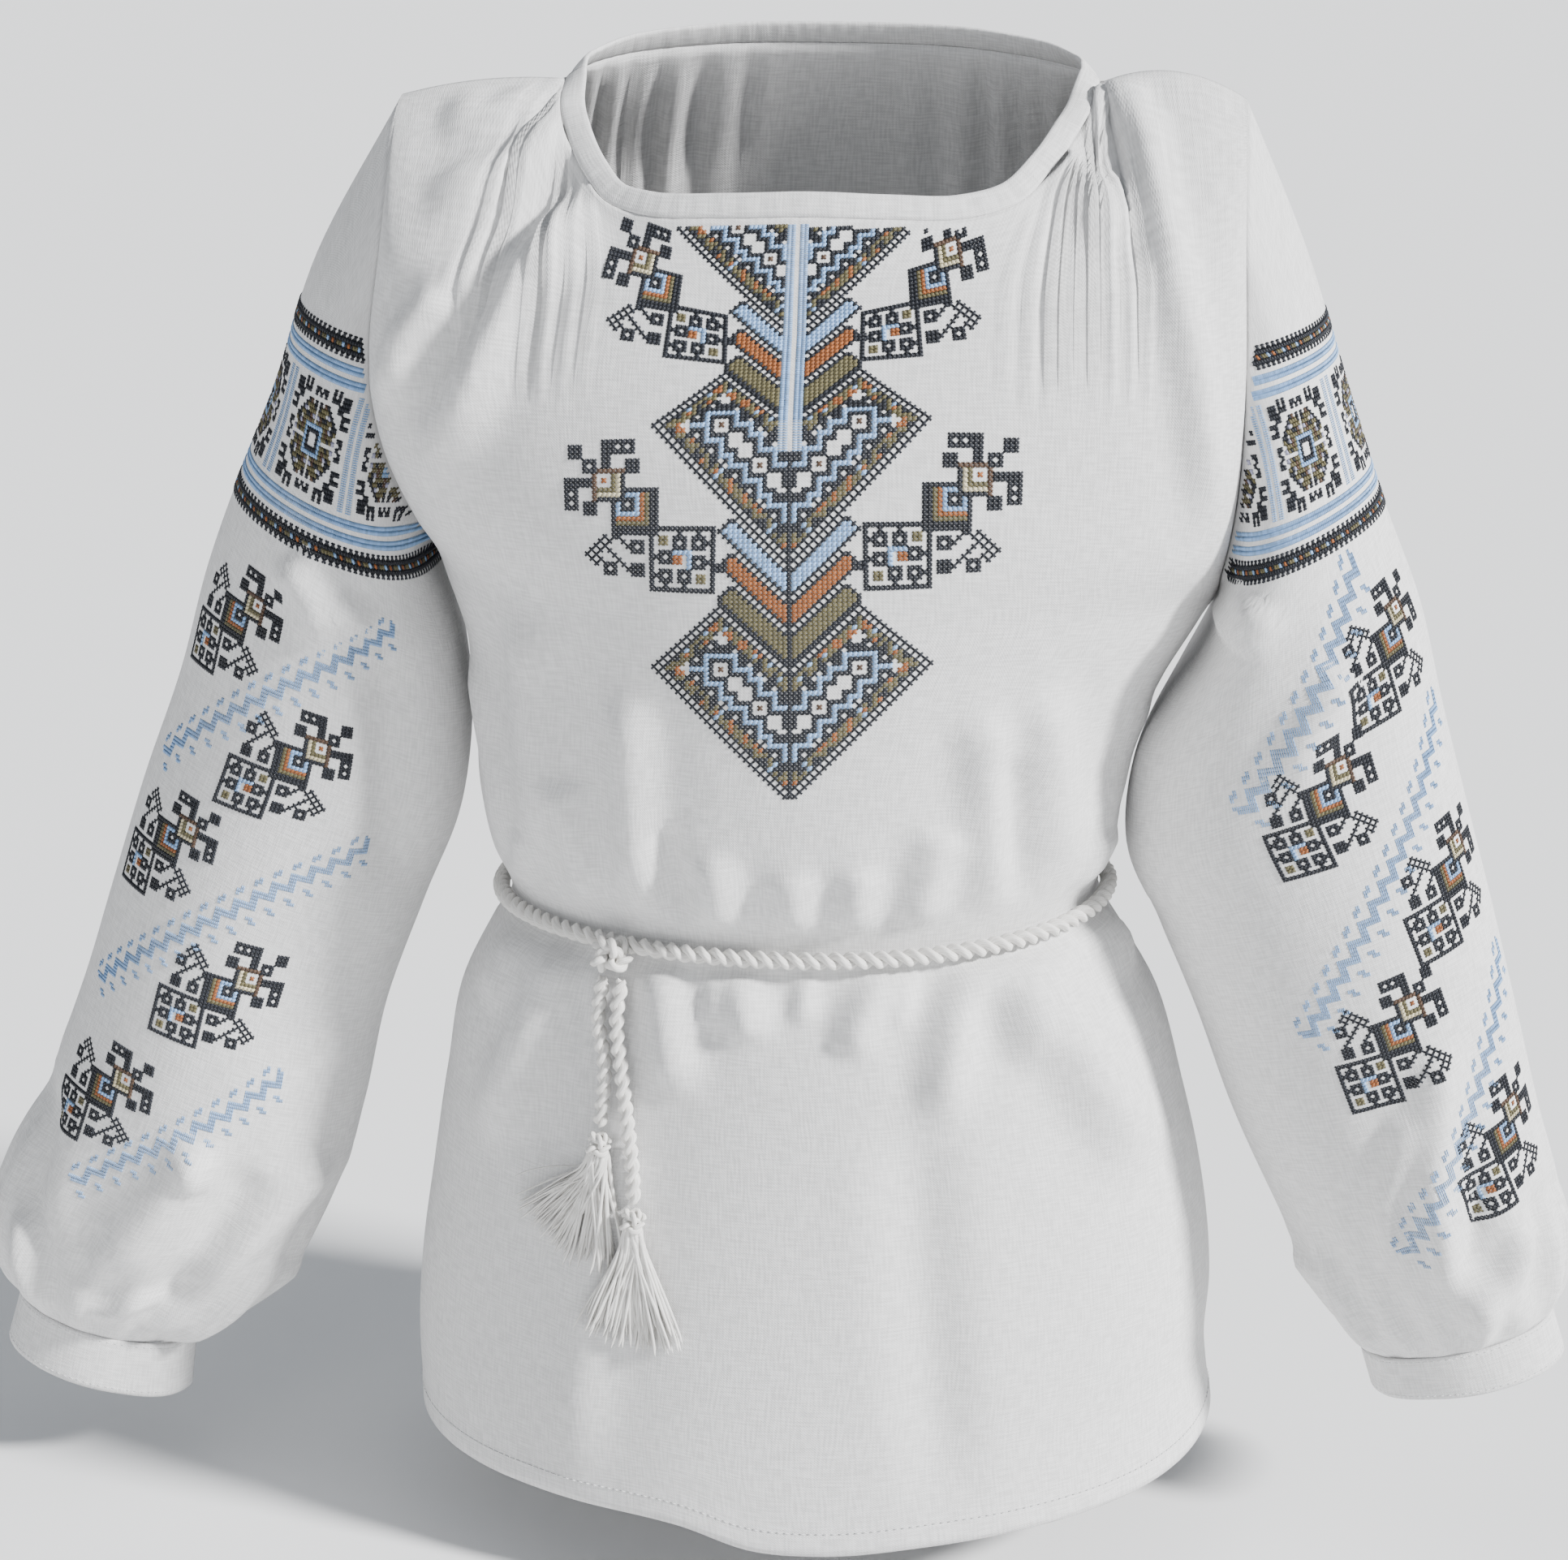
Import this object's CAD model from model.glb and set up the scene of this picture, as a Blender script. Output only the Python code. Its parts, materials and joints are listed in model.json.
# %% [markdown]
# # A white folk blouse with cross-stitched chest and sleeves
#
# A vyshyvanka is cut from plain white cotton or linen. The fronts and sleeves are embroidered flat, with one small
# cross over each square of the weave, and then sewn up. Here the blouse keeps the hollow form of a standing wearer,
# with a twisted rope tied round the waist. The camera comes first, then the cloth, the stitches and the rope.

# %% Libraries, and the frame that every piece shares
import json
import math
import random

import bmesh
import bpy
import numpy as np
from mathutils import Matrix, Vector
from mathutils.kdtree import KDTree

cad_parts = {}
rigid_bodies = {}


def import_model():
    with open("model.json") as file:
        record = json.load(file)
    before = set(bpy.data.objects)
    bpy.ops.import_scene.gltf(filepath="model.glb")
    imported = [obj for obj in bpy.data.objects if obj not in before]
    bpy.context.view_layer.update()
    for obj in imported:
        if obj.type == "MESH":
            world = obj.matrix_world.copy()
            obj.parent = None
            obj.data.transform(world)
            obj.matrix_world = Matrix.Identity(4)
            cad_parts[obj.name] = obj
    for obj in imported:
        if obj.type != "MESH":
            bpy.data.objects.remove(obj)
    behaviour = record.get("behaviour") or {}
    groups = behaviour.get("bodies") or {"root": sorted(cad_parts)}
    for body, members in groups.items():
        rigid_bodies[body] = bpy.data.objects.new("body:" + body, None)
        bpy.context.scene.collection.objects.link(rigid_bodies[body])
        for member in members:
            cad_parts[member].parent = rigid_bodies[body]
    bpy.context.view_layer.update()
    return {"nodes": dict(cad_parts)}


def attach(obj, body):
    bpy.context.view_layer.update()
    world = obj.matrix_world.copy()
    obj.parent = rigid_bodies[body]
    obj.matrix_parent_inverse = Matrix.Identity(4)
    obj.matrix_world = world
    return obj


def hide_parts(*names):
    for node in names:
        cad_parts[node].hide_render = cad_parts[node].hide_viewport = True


for startup_item in list(bpy.data.objects):
    bpy.data.objects.remove(startup_item)
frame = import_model()
print("nodes:", ", ".join(sorted(frame["nodes"])))

# %% [markdown]
# The camera stands 1.3 m in front of the neck, a little to the wearer's left and above the shoulders, and looks
# down at the waist. Its lens and tilt follow from where the neck, the hem and both cuffs lie in the picture.

# %% Camera
CAMERA_AT = (0.11330, -1.29505, 0.100)
CAMERA_TURN, CAMERA_TILT = math.radians(5.6768), math.radians(17.5768)
lens = bpy.data.cameras.new("camera")
lens.lens, lens.sensor_width = 69.3168, 36.0
camera = bpy.data.objects.new("camera", lens)
camera.location = CAMERA_AT
camera.rotation_euler = (math.pi / 2 - CAMERA_TILT, 0, CAMERA_TURN)
bpy.context.scene.collection.objects.link(camera)
bpy.context.scene.camera = camera
print("camera lens", round(lens.lens, 1), "mm")

# %% [markdown]
# A pale floor lies just under the hem. Wide, weak lamps at both sides and above give soft shading that still shows
# the folds, and the pale surroundings fill the shadows.

# %% Floor and lamps
FLOOR_Z = -0.665
PALE = (0.93, 0.93, 0.93)


def plain_material(name, colour, roughness):
    material = bpy.data.materials.new(name)
    material.use_nodes = True
    shader = material.node_tree.nodes["Principled BSDF"]
    shader.inputs["Base Color"].default_value = (*colour, 1)
    shader.inputs["Roughness"].default_value = roughness
    return material


def add_lamp(name, place, target, size, power):
    lamp = bpy.data.lights.new(name, "AREA")
    lamp.size, lamp.energy = size, power
    item = bpy.data.objects.new(name, lamp)
    item.location = place
    item.rotation_euler = (Vector(target) - Vector(place)).to_track_quat("-Z", "Y").to_euler()
    bpy.context.scene.collection.objects.link(item)


plane = bmesh.new()
bmesh.ops.create_grid(plane, x_segments=1, y_segments=1, size=25.0)
bmesh.ops.translate(plane, verts=plane.verts, vec=(0, 0, FLOOR_Z))
floor_mesh = bpy.data.meshes.new("floor")
plane.to_mesh(floor_mesh)
plane.free()
floor_mesh.materials.append(plain_material("pale_floor", PALE, 0.9))
floor = bpy.data.objects.new("floor", floor_mesh)
bpy.context.scene.collection.objects.link(floor)
MIDDLE = (0, 0, -0.33)
add_lamp("lamp_fill", (-1.2, -2.0, 0.4), MIDDLE, 1.0, 6)
window = bpy.data.lights.new("window", "SUN")
window.energy, window.angle = 9.0, math.radians(8)
daylight = bpy.data.objects.new("window", window)
daylight.rotation_euler = Vector((-1.0, 0.34, -0.66)).to_track_quat("-Z", "Y").to_euler()
bpy.context.scene.collection.objects.link(daylight)
world = bpy.data.worlds.new("pale_room")
world.use_nodes = True
world.node_tree.nodes["Background"].inputs["Color"].default_value = (0.86, 0.92, 1.0, 1)
world.node_tree.nodes["Background"].inputs["Strength"].default_value = 0.42
bpy.context.scene.world = world
print("floor at", FLOOR_Z)

# %% [markdown]
# The worn form. A pattern cutter would drape the cloth on a stand: here each panel is a surface through a few
# measured rows, from hem to shoulder, and each sleeve runs through rings from the armhole to the cuff.
# Right and left are the wearer's, the wearer faces -Y, and the tables are in millimetres.

# %% Measured rows of the body and sleeves
MM = 0.001
CLOTH = 1.2 * MM
CUFF_CLOTH = 1.8 * MM
CLEAR = 0.4 * MM
BELT_CLEAR = 1.0 * MM
RIGHT, LEFT = -1, 1
FRONT, BACK = -1, 1

# Body: v is the share of the height from the hem to the shoulder seam and neckline. right and left are the edges,
# which are the side seams up to the armpit and the armholes above it. front and back are the centre lines.
ARMPIT_V, YOKE_V, WAIST_V = 0.66, 0.90, 0.43
BODY_COLUMNS = ("v", "right_x", "right_z", "left_x", "left_z", "edge_front_y", "edge_back_y",
                "front_y", "front_z", "back_y", "back_z")
BODY_ROWS = (
    (0.00, -190, -625, 188, -612, 0, 0, -125, -634, 130, -628),
    (0.06, -191, -588, 184, -580, 0, 0, -121, -597, 128, -592),
    (0.14, -188, -545, 185, -543, 0, 0, -117, -550, 126, -548),
    (0.22, -181, -500, 180, -500, 0, 0, -113, -503, 122, -502),
    (0.30, -173, -452, 169, -452, 0, 0, -109, -454, 115, -453),
    (0.36, -164, -408, 155, -405, 0, 0, -106, -408, 105, -406),
    (0.40, -150, -380, 139, -377, 0, 0, -102, -383, 96, -380),
    (0.43, -140, -362, 127, -355, 0, 0, -95, -361, 88, -356),
    (0.46, -148, -341, 133, -334, 0, 0, -103, -339, 94, -334),
    (0.50, -153, -316, 135, -315, 0, 0, -109, -314, 98, -310),
    (0.56, -154, -280, 139, -288, 0, 0, -114, -277, 101, -270),
    (0.62, -157, -240, 153, -257, 0, 0, -118, -238, 103, -226),
    (0.66, -168, -203, 172, -222, 0, 0, -120, -212, 103, -192),
    (0.70, -172, -184, 175, -203, -31, 27, -121, -187, 103, -164),
    (0.76, -181, -152, 179, -166, -51, 43, -119, -152, 101, -128),
    (0.83, -184, -112, 180, -118, -60, 50, -113, -117, 96, -90),
    (0.90, -179, -70, 178, -70, -56, 46, -103, -84, 84, -48),
)
# The hem is not level: lift at places x along it, dying out by this share of the height.
HEM_LIFT = ((-190, 4), (-150, 7), (-95, 10), (-50, 9), (-18, 1), (10, 0), (60, 3), (110, 4), (160, 2), (188, 0))
HEM_LIFT_V = 0.13
SHOULDER = {RIGHT: (-179, 0, -10), LEFT: (178, 0, -9)}
SHOULDER_HUMP = {RIGHT: 3, LEFT: 8}
SHOULDER_ROLL, ROLL_BLEND = 52 * MM, 0.16
# The seam between the body and the neck band, from the right neck side to the left one.
NECK_SHARE = 0.55
NECK_FRONT = ((-108, 0, -3), (-108, -18, -10), (-102, -39, -22), (-92, -58, -36), (-79, -73, -47), (-64, -81, -50),
              (-30, -88, -50), (4, -90, -49), (36, -87, -50), (64, -82, -50), (85, -73, -45), (99, -57, -33),
              (110, -35, -18), (116, -14, -7), (117, 0, -3))
NECK_BACK = ((-108, 0, -3), (-104, 16, 1), (-89, 35, 5), (-58, 49, 8), (4, 56, 9), (66, 49, 7), (98, 35, 3),
             (113, 16, 0), (117, 0, -3))
NECK_MIDDLE = np.array((5, -10, 120)) * MM
NECK_STEPS = 160
BAND_WIDTH, BAND_OUT, BAND_IN = 10.5 * MM, 0.7 * MM, 1.7 * MM

# Sleeves: s runs from the armhole to the cuff seam. Each ring goes through its outer and inner points, and its
# front and back stand this far from the line between them, which lies at mid_y.
SLEEVE_COLUMNS = ("s", "outer_x", "outer_z", "inner_x", "inner_z", "mid_y", "front", "back")
SLEEVE_ROWS = {
    RIGHT: (
        (0.07, -216, -73, -171, -209, 0, 65, 55),
        (0.14, -237, -130, -166, -228, -1, 67, 58),
        (0.21, -256, -172, -160, -252, -2, 66, 60),
        (0.29, -273, -214, -158, -286, -3, 64, 59),
        (0.38, -288, -262, -164, -329, -4, 62, 58),
        (0.48, -308, -313, -182, -373, -5, 60, 57),
        (0.58, -327, -367, -202, -425, -6, 59, 57),
        (0.68, -344, -416, -214, -475, -8, 58, 57),
        (0.78, -366, -468, -228, -518, -9, 56, 56),
        (0.86, -387, -508, -245, -549, -10, 52, 53),
        (0.92, -398, -540, -267, -572, -11, 45, 46),
        (0.96, -393, -560, -288, -586, -12, 38, 39),
        (1.00, -385, -575, -304, -597, -12, 30, 31),
    ),
    LEFT: (
        (0.07, 206, -71, 174, -229, 0, 64, 54),
        (0.14, 227, -131, 167, -246, -1, 66, 57),
        (0.21, 244, -177, 153, -267, -2, 65, 59),
        (0.29, 261, -218, 141.5, -295, -3, 63, 58),
        (0.38, 274, -265, 139, -334, -4, 61, 57),
        (0.48, 288, -312, 155, -370, -5, 59, 56),
        (0.58, 303, -362, 173, -411, -6, 58, 56),
        (0.68, 317, -412, 190, -455, -8, 57, 56),
        (0.78, 330, -459, 209, -495, -9, 55, 55),
        (0.86, 342, -496, 228, -531, -10, 50, 51),
        (0.92, 346, -521, 244, -553, -11, 44, 45),
        (0.96, 344, -538, 255, -565, -12, 37, 38),
        (1.00, 341, -550, 259, -574, -12, 30, 31),
    ),
}
CUFF_FOOT = {RIGHT: ((-393, -600), (-308, -625)), LEFT: ((348, -571), (265, -593))}
CUFF_FLARE = 1.06
CUFF_LAP, LAP_LIFT = 0.42, 3.2 * MM

# Rope belt, the two hanging ends and their tassels.
ROPE_R, END_R = 4.0 * MM, 3.5 * MM
KNOT_AT, KNOT_SIZE = (-81, -364), (10.5 * MM, 8.0 * MM, 9.5 * MM)
ENDS = {
    "short": ((-85, -374.5), (-87, -392), (-84, -413), (-85, -432), (-86, -441)),
    "long": ((-76.5, -374.5), (-78.5, -392), (-76, -416), (-73, -442), (-71, -462), (-71, -475)),
}
TASSEL_HEAD = 6.0 * MM
TASSEL_LEAN = {"short": -0.5, "long": -0.08}
TASSEL_LENGTH, TASSEL_SPREAD = 60 * MM, 2.4


def table(columns, rows):
    return {name: np.array(column, float) for name, column in zip(columns, zip(*rows))}


BODY = table(BODY_COLUMNS, BODY_ROWS)
SLEEVES = {side: table(SLEEVE_COLUMNS, rows) for side, rows in SLEEVE_ROWS.items()}


def curve_through(stations, values, at):
    """A smooth curve through values, one for each station, read at the places in `at`."""
    values = np.asarray(values, float)
    at = np.atleast_1d(at)
    slopes = np.gradient(values, stations, axis=0)
    k = np.clip(np.searchsorted(stations, at, side="right") - 1, 0, len(stations) - 2)
    span = stations[k + 1] - stations[k]
    t = (at - stations[k]) / span
    if values.ndim == 3:
        pick = np.arange(len(at))
        start, end, leave, arrive = values[k, pick], values[k + 1, pick], slopes[k, pick], slopes[k + 1, pick]
    else:
        start, end, leave, arrive = values[k], values[k + 1], slopes[k], slopes[k + 1]
    if start.ndim > 1:
        t, span = t[:, None], span[:, None]
    return hermite(start, leave * span, end, arrive * span, t)


def hermite(start, leave, end, arrive, t):
    return ((2 * t**3 - 3 * t**2 + 1) * start + (t**3 - 2 * t**2 + t) * leave
            + (3 * t**2 - 2 * t**3) * end + (t**3 - t**2) * arrive)


def ease(x):
    x = np.clip(x, 0, 1)
    return x * x * (3 - 2 * x)


def unit(vectors):
    return vectors / np.maximum(np.linalg.norm(vectors, axis=-1, keepdims=True), 1e-12)


def body_section(u, v, face):
    """The body cloth below the yoke line: an elliptic arc between the two edges through the centre line."""
    across, deep = np.sin(u * math.pi / 2), np.cos(u * math.pi / 2)
    name = "front" if face == FRONT else "back"

    def read(column):
        return curve_through(BODY["v"], BODY[column], v)

    def between(right, left):
        return (read(left) + read(right)) / 2 + (read(left) - read(right)) / 2 * across

    edge_y = np.where(v > ARMPIT_V, read(f"edge_{name}_y"), 0)
    edge_z = between("right_z", "left_z")
    x = between("right_x", "left_x")
    places, lift = np.array(HEM_LIFT, float).T
    return MM * np.stack([
        x,
        edge_y + (read(f"{name}_y") - edge_y) * deep,
        edge_z + (read(f"{name}_z") - edge_z) * deep + curve_through(places, lift, x) * ease(1 - v / HEM_LIFT_V),
    ], axis=-1)


def top_edge(u, face):
    """The neckline in the middle, and a shoulder seam on each side of it."""
    line = np.array(NECK_FRONT if face == FRONT else NECK_BACK, float)
    lengths = np.concatenate([[0], np.cumsum(np.linalg.norm(np.diff(line, axis=0), axis=1))])
    places = (2 * lengths / lengths[-1] - 1) * NECK_SHARE
    neck = curve_through(places, line, np.clip(u, -NECK_SHARE, NECK_SHARE))
    inner = math.sin(NECK_SHARE * math.pi / 2)
    along = np.clip((np.sin(abs(u) * math.pi / 2) - inner) / (1 - inner), 0, 1)[:, None]
    on_right = (u < 0)[:, None]
    ends = np.where(on_right, SHOULDER[RIGHT], SHOULDER[LEFT])
    hump = np.where(on_right, SHOULDER_HUMP[RIGHT], SHOULDER_HUMP[LEFT]) * 4 * along * (1 - along)
    return MM * (neck * (1 - along) + ends * along + hump * np.array([0, 0, 1]))


def body(u, v, face):
    """Points of the front or back at shares u, -1 to 1 from right to left, and v, from hem to top."""
    u, v = np.broadcast_arrays(np.atleast_1d(u).astype(float), np.atleast_1d(v).astype(float))
    low = body_section(u, np.minimum(v, YOKE_V), face)
    yoke = np.full_like(v, YOKE_V)
    start, step = body_section(u, yoke, face), 0.01
    leave = (start - body_section(u, yoke - step, face)) / step * (1 - YOKE_V)
    end = top_edge(u, face)
    over = ease((abs(u) - NECK_SHARE) / ROLL_BLEND + 1)[:, None]
    arrive = over * np.array([0, -face * SHOULDER_ROLL, 0]) + (1 - over) * (end - start)
    t = np.clip((v - YOKE_V) / (1 - YOKE_V), 0, 1)[:, None]
    return np.where(t > 0, hermite(start, leave, end, arrive, t), low)


def armhole_v(phi):
    """Where the sleeve's angle phi, 0 at the shoulder and pi at the armpit, meets the body's edge."""
    return ARMPIT_V + (1 - ARMPIT_V) * (1 + np.cos(phi)) / 2


def sleeve(phi, s, side):
    """Points of a sleeve at angle phi, forward from the shoulder line, and share s from armhole to cuff."""
    phi, s = np.broadcast_arrays(np.atleast_1d(phi).astype(float), np.atleast_1d(s).astype(float))
    rows = SLEEVES[side]
    forward = np.sin(phi)
    edge = np.full_like(phi, side)
    v = armhole_v(phi)
    armhole = np.where((forward >= 0)[:, None], body(edge, v, FRONT), body(edge, v, BACK))
    rings = [armhole]
    for k in range(len(rows["s"])):
        outer = np.array([rows["outer_x"][k], rows["mid_y"][k], rows["outer_z"][k]])
        inner = np.array([rows["inner_x"][k], rows["mid_y"][k], rows["inner_z"][k]])
        depth = np.where(forward >= 0, rows["front"][k], rows["back"][k]) * forward
        ring = (outer + inner) / 2 + np.cos(phi)[:, None] * (outer - inner) / 2
        rings.append(MM * (ring - depth[:, None] * np.array([0, 1, 0])))
    return curve_through(np.concatenate([[0], rows["s"]]), np.stack(rings), s)


def normals(surface, a, b, key, outward):
    """Unit normals of surface(a, b, key), turned to point outward (1 or -1)."""
    step = 1e-3
    a, b = np.broadcast_arrays(np.atleast_1d(a).astype(float), np.atleast_1d(b).astype(float))
    if surface is body:
        low_a, high_a = np.maximum(a - step, -1), np.minimum(a + step, 1)
    else:
        low_a, high_a = a - step, a + step
    low_b, high_b = np.maximum(b - step, 0), np.minimum(b + step, 1)
    along_a = surface(high_a, b, key) - surface(low_a, b, key)
    along_b = surface(a, high_b, key) - surface(a, low_b, key)
    return outward * unit(np.cross(along_a, along_b))


def body_normals(u, v, face):
    return normals(body, u, v, face, 1 if face == FRONT else -1)


def sleeve_normals(phi, s, side):
    return normals(sleeve, phi, s, side, side)


def seam_direction(along, normal, outward):
    """The direction across a seam, in the cloth, on the side of `outward`."""
    across = unit(np.cross(along, normal))
    return across * np.where((across * outward).sum(axis=-1, keepdims=True) < 0, -1, 1)


def armhole_seam(phi, side):
    """The seam normals of an armhole, and the direction from the body cloth into the sleeve."""
    phi = np.atleast_1d(phi)
    v, edge = armhole_v(phi), np.full_like(phi, side)
    face = np.where(np.sin(phi) >= 0, FRONT, BACK)
    inset = 0.012
    on_body = np.where((face == FRONT)[:, None],
                       body_normals(edge * (1 - inset), np.clip(v, 0, 1 - inset), FRONT),
                       body_normals(edge * (1 - inset), np.clip(v, 0, 1 - inset), BACK))
    normal = unit(on_body + sleeve_normals(phi, np.full_like(phi, inset), side))
    along = sleeve(phi + 1e-3, 0.0, side) - sleeve(phi - 1e-3, 0.0, side)
    return normal, seam_direction(along, normal, sleeve(phi, 0.03, side) - sleeve(phi, 0.0, side))


def neck_loop():
    """The whole neckline as a fine closed line: share u on the front, then on the back, points, normals
    and the direction from the body cloth into the band, smoothed so that they turn gently at the neck sides."""
    share = np.linspace(-NECK_SHARE, NECK_SHARE, NECK_STEPS + 1)
    sides = ((share[:-1], FRONT), (share[::-1][:-1], BACK))
    line = np.concatenate([body(u, np.ones_like(u), face) for u, face in sides])
    normal = np.concatenate([body_normals(u, np.full_like(u, 0.985), face) for u, face in sides])
    for _ in range(NECK_STEPS // 8):
        normal = unit(np.roll(normal, 1, axis=0) + 2 * normal + np.roll(normal, -1, axis=0))
    along = np.roll(line, -4, axis=0) - np.roll(line, 4, axis=0)
    across = seam_direction(along, normal, NECK_MIDDLE - line)
    return line, normal, across


def neck_seam(u, face):
    """Points, normals and the direction from the body cloth into the band, at shares u of the neckline."""
    turn = (u + NECK_SHARE) / (2 * NECK_SHARE)
    place = (turn if face == FRONT else 2 - turn) * NECK_STEPS
    stations = np.arange(2 * NECK_STEPS)

    def read(values):
        return np.stack([np.interp(place, stations, column, period=2 * NECK_STEPS) for column in values.T], axis=1)

    line, normal, across = neck_loop()
    return read(line), unit(read(normal)), unit(read(across))

# %% [markdown]
# Folds are placed by hand, each as a soft ridge or trough along a few points. The neck and cuffs are gathered on a
# thread, so the cloth there stands in small waves that die away within a few centimetres. The back and the hidden
# sides get similar folds, because the cloth is under the same pull there.

# %% Folds and gathers
# Folds placed by hand. Each is a soft ridge along its points, (x, z), of this half width and height.
FOLDS = (
    (FRONT, 9, 3.0, ((-115, -11), (-137, -19), (-162, -16))),
    (FRONT, 11, 3.4, ((-101, -22), (-127, -37), (-163, -50))),
    (FRONT, 10, -3.0, ((-95, -32), (-109, -45), (-132, -86), (-149, -109), (-164, -141))),
    (FRONT, 12, 3.6, ((-84, -48), (-115, -71), (-126, -102), (-136, -125), (-160, -167))),
    (FRONT, 9, 2.8, ((-145, -80), (-164, -103), (-176, -135))),
    (FRONT, 9, 3.0, ((109, -5), (126, -5), (136, -22), (143, -52), (149, -75))),
    (FRONT, 9, -2.6, ((103, -16), (127, -38))),
    (FRONT, 10, 3.0, ((99, -26), (112, -40), (132, -63))),
    (FRONT, 10, 3.0, ((142, -47), (158, -109), (165, -152), (168, -190))),
    (FRONT, 13, 3.2, ((-115, -215), (-114, -300), (-114, -346))),
    (FRONT, 10, 2.6, ((-102, -286), (-93, -334), (-95, -353))),
    (FRONT, 12, 3.2, ((-70, -243), (-69, -311), (-70, -354))),
    (FRONT, 10, 2.6, ((-35, -312), (-32, -355))),
    (FRONT, 10, 2.2, ((-2, -318), (0, -356))),
    (FRONT, 10, 2.4, ((27, -316), (24, -356))),
    (FRONT, 11, 3.0, ((62, -300), (47, -353))),
    (FRONT, 12, 3.2, ((78, -247), (80, -323), (77, -352))),
    (FRONT, 12, 3.2, ((100, -240), (111, -322), (106, -348))),
    (FRONT, 11, 3.2, ((-27, -369), (-18, -400))),
    (FRONT, 11, 3.4, ((38, -367), (19, -405))),
    (FRONT, 12, 4.0, ((76, -362), (68, -387), (60, -440))),
    (FRONT, 11, 3.4, ((81, -363), (94, -390), (106, -416))),
    (FRONT, 15, 5.0, ((92, -362), (115, -400), (134, -435), (156, -480))),
    (FRONT, 12, 3.6, ((112, -357), (135, -369), (151, -392))),
    (FRONT, 13, 5.0, ((-98, -363), (-113, -393), (-129, -431), (-148, -475))),
    (FRONT, 12, 3.6, ((-118, -362), (-148, -410))),
    (FRONT, 12, 3.4, ((-60, -366), (-57, -385), (-52, -430))),
    (FRONT, 16, 2.2, ((-80, -440), (-92, -520), (-106, -634))),
    (FRONT, 18, -2.2, ((50, -430), (58, -520), (70, -634))),
    (BACK, 13, 3.4, ((-110, -200), (-104, -346))),
    (BACK, 13, 3.0, ((-62, -250), (-56, -350))),
    (BACK, 13, 3.0, ((-8, -270), (-4, -352))),
    (BACK, 13, 3.2, ((52, -240), (46, -352))),
    (BACK, 13, 3.2, ((104, -210), (92, -348))),
    (BACK, 14, 4.4, ((-95, -368), (-118, -420), (-140, -480))),
    (BACK, 14, 3.8, ((-48, -368), (-56, -440))),
    (BACK, 14, 3.6, ((8, -368), (6, -430))),
    (BACK, 14, 4.0, ((54, -368), (66, -450))),
    (BACK, 14, 4.4, ((96, -366), (124, -430), (146, -490))),
    (FRONT, 12, 3.4, ((-222, -199), (-211, -215), (-204, -240))),
    (FRONT, 12, -3.0, ((-181, -242), (-182, -266), (-186, -328), (-190, -372))),
    (FRONT, 13, 4.0, ((-274, -470), (-301, -512), (-333, -556))),
    (FRONT, 12, 4.0, ((-225, -490), (-247, -510), (-266, -531), (-300, -566))),
    (FRONT, 11, -3.0, ((-252, -490), (-282, -540), (-318, -577))),
    (FRONT, 10, -3.0, ((-356, -458), (-366, -510), (-362, -560))),
    (FRONT, 11, 3.4, ((-247, -548), (-285, -574), (-318, -592))),
    (FRONT, 12, 3.4, ((192, -208), (178, -232))),
    (FRONT, 12, 3.0, ((228, -240), (214, -262), (200, -290))),
    (FRONT, 12, 3.8, ((276, -400), (276, -470), (285, -514), (296, -556))),
    (FRONT, 11, 3.4, ((325, -495), (308, -522), (304, -552))),
    (FRONT, 10, -3.0, ((330, -480), (331, -520), (325, -552))),
    (FRONT, 11, 3.2, ((226, -520), (250, -548), (276, -572))),
    (BACK, 13, 3.6, ((-262, -450), (-300, -520), (-330, -570))),
    (BACK, 12, 3.4, ((-350, -470), (-360, -560))),
    (BACK, 12, 3.2, ((-190, -240), (-200, -330))),
    (BACK, 13, 3.6, ((240, -440), (270, -510), (290, -566))),
    (BACK, 12, 3.4, ((318, -450), (322, -550))),
    (BACK, 12, 3.2, ((180, -250), (196, -330))),
)
BELT_PINCH = 15 * MM
FINE_FOLDS = (
    (FRONT, 6, 1.6, ((-122, -318), (-128, -350))),
    (FRONT, 7, 2.0, ((129, -321), (117, -353))),
    (FRONT, 6, 1.8, ((-86, -368), (-90, -402))),
    (FRONT, 6, 1.6, ((-38, -368), (-36, -396))),
    (FRONT, 6, 1.6, ((4, -366), (2, -392))),
    (FRONT, 6, 1.8, ((48, -366), (42, -394))),
    (FRONT, 7, 1.8, ((-201, -218), (-187, -231))),
    (FRONT, 7, 2.2, ((-281, -478), (-279, -500))),
    (FRONT, 6, 2.0, ((-340, -572), (-316, -562), (-295, -563))),
    (FRONT, 7, 2.2, ((-371, -522), (-373, -548), (-361, -580))),
    (FRONT, 6, -2.0, ((-330, -520), (-345, -560))),
    (FRONT, 7, 2.0, ((262, -434), (258, -480), (262, -520))),
    (FRONT, 6, -1.8, ((300, -470), (292, -520))),
    (FRONT, 7, -2.2, ((-56, -300), (-52, -350))),
    (FRONT, 7, -2.0, ((88, -270), (94, -348))),
    (FRONT, 8, 1.8, ((-150, -250), (-138, -300), (-134, -345))),
    (FRONT, 8, 1.8, ((148, -262), (130, -310), (122, -345))),
    (BACK, 8, 2.0, ((-84, -300), (-80, -350))),
    (BACK, 8, 2.0, ((20, -290), (18, -350))),
    (BACK, 8, 2.0, ((76, -290), (70, -350))),
)
NECK_WAVES, NECK_WAVE, NECK_REACH = {FRONT: 11, BACK: 8}, 3.4 * MM, 30.0
NECK_FROM = {FRONT: 0.50, BACK: 0.15}
CUFF_WAVES, CUFF_WAVE, CUFF_REACH = 15, 2.8 * MM, 0.06
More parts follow.
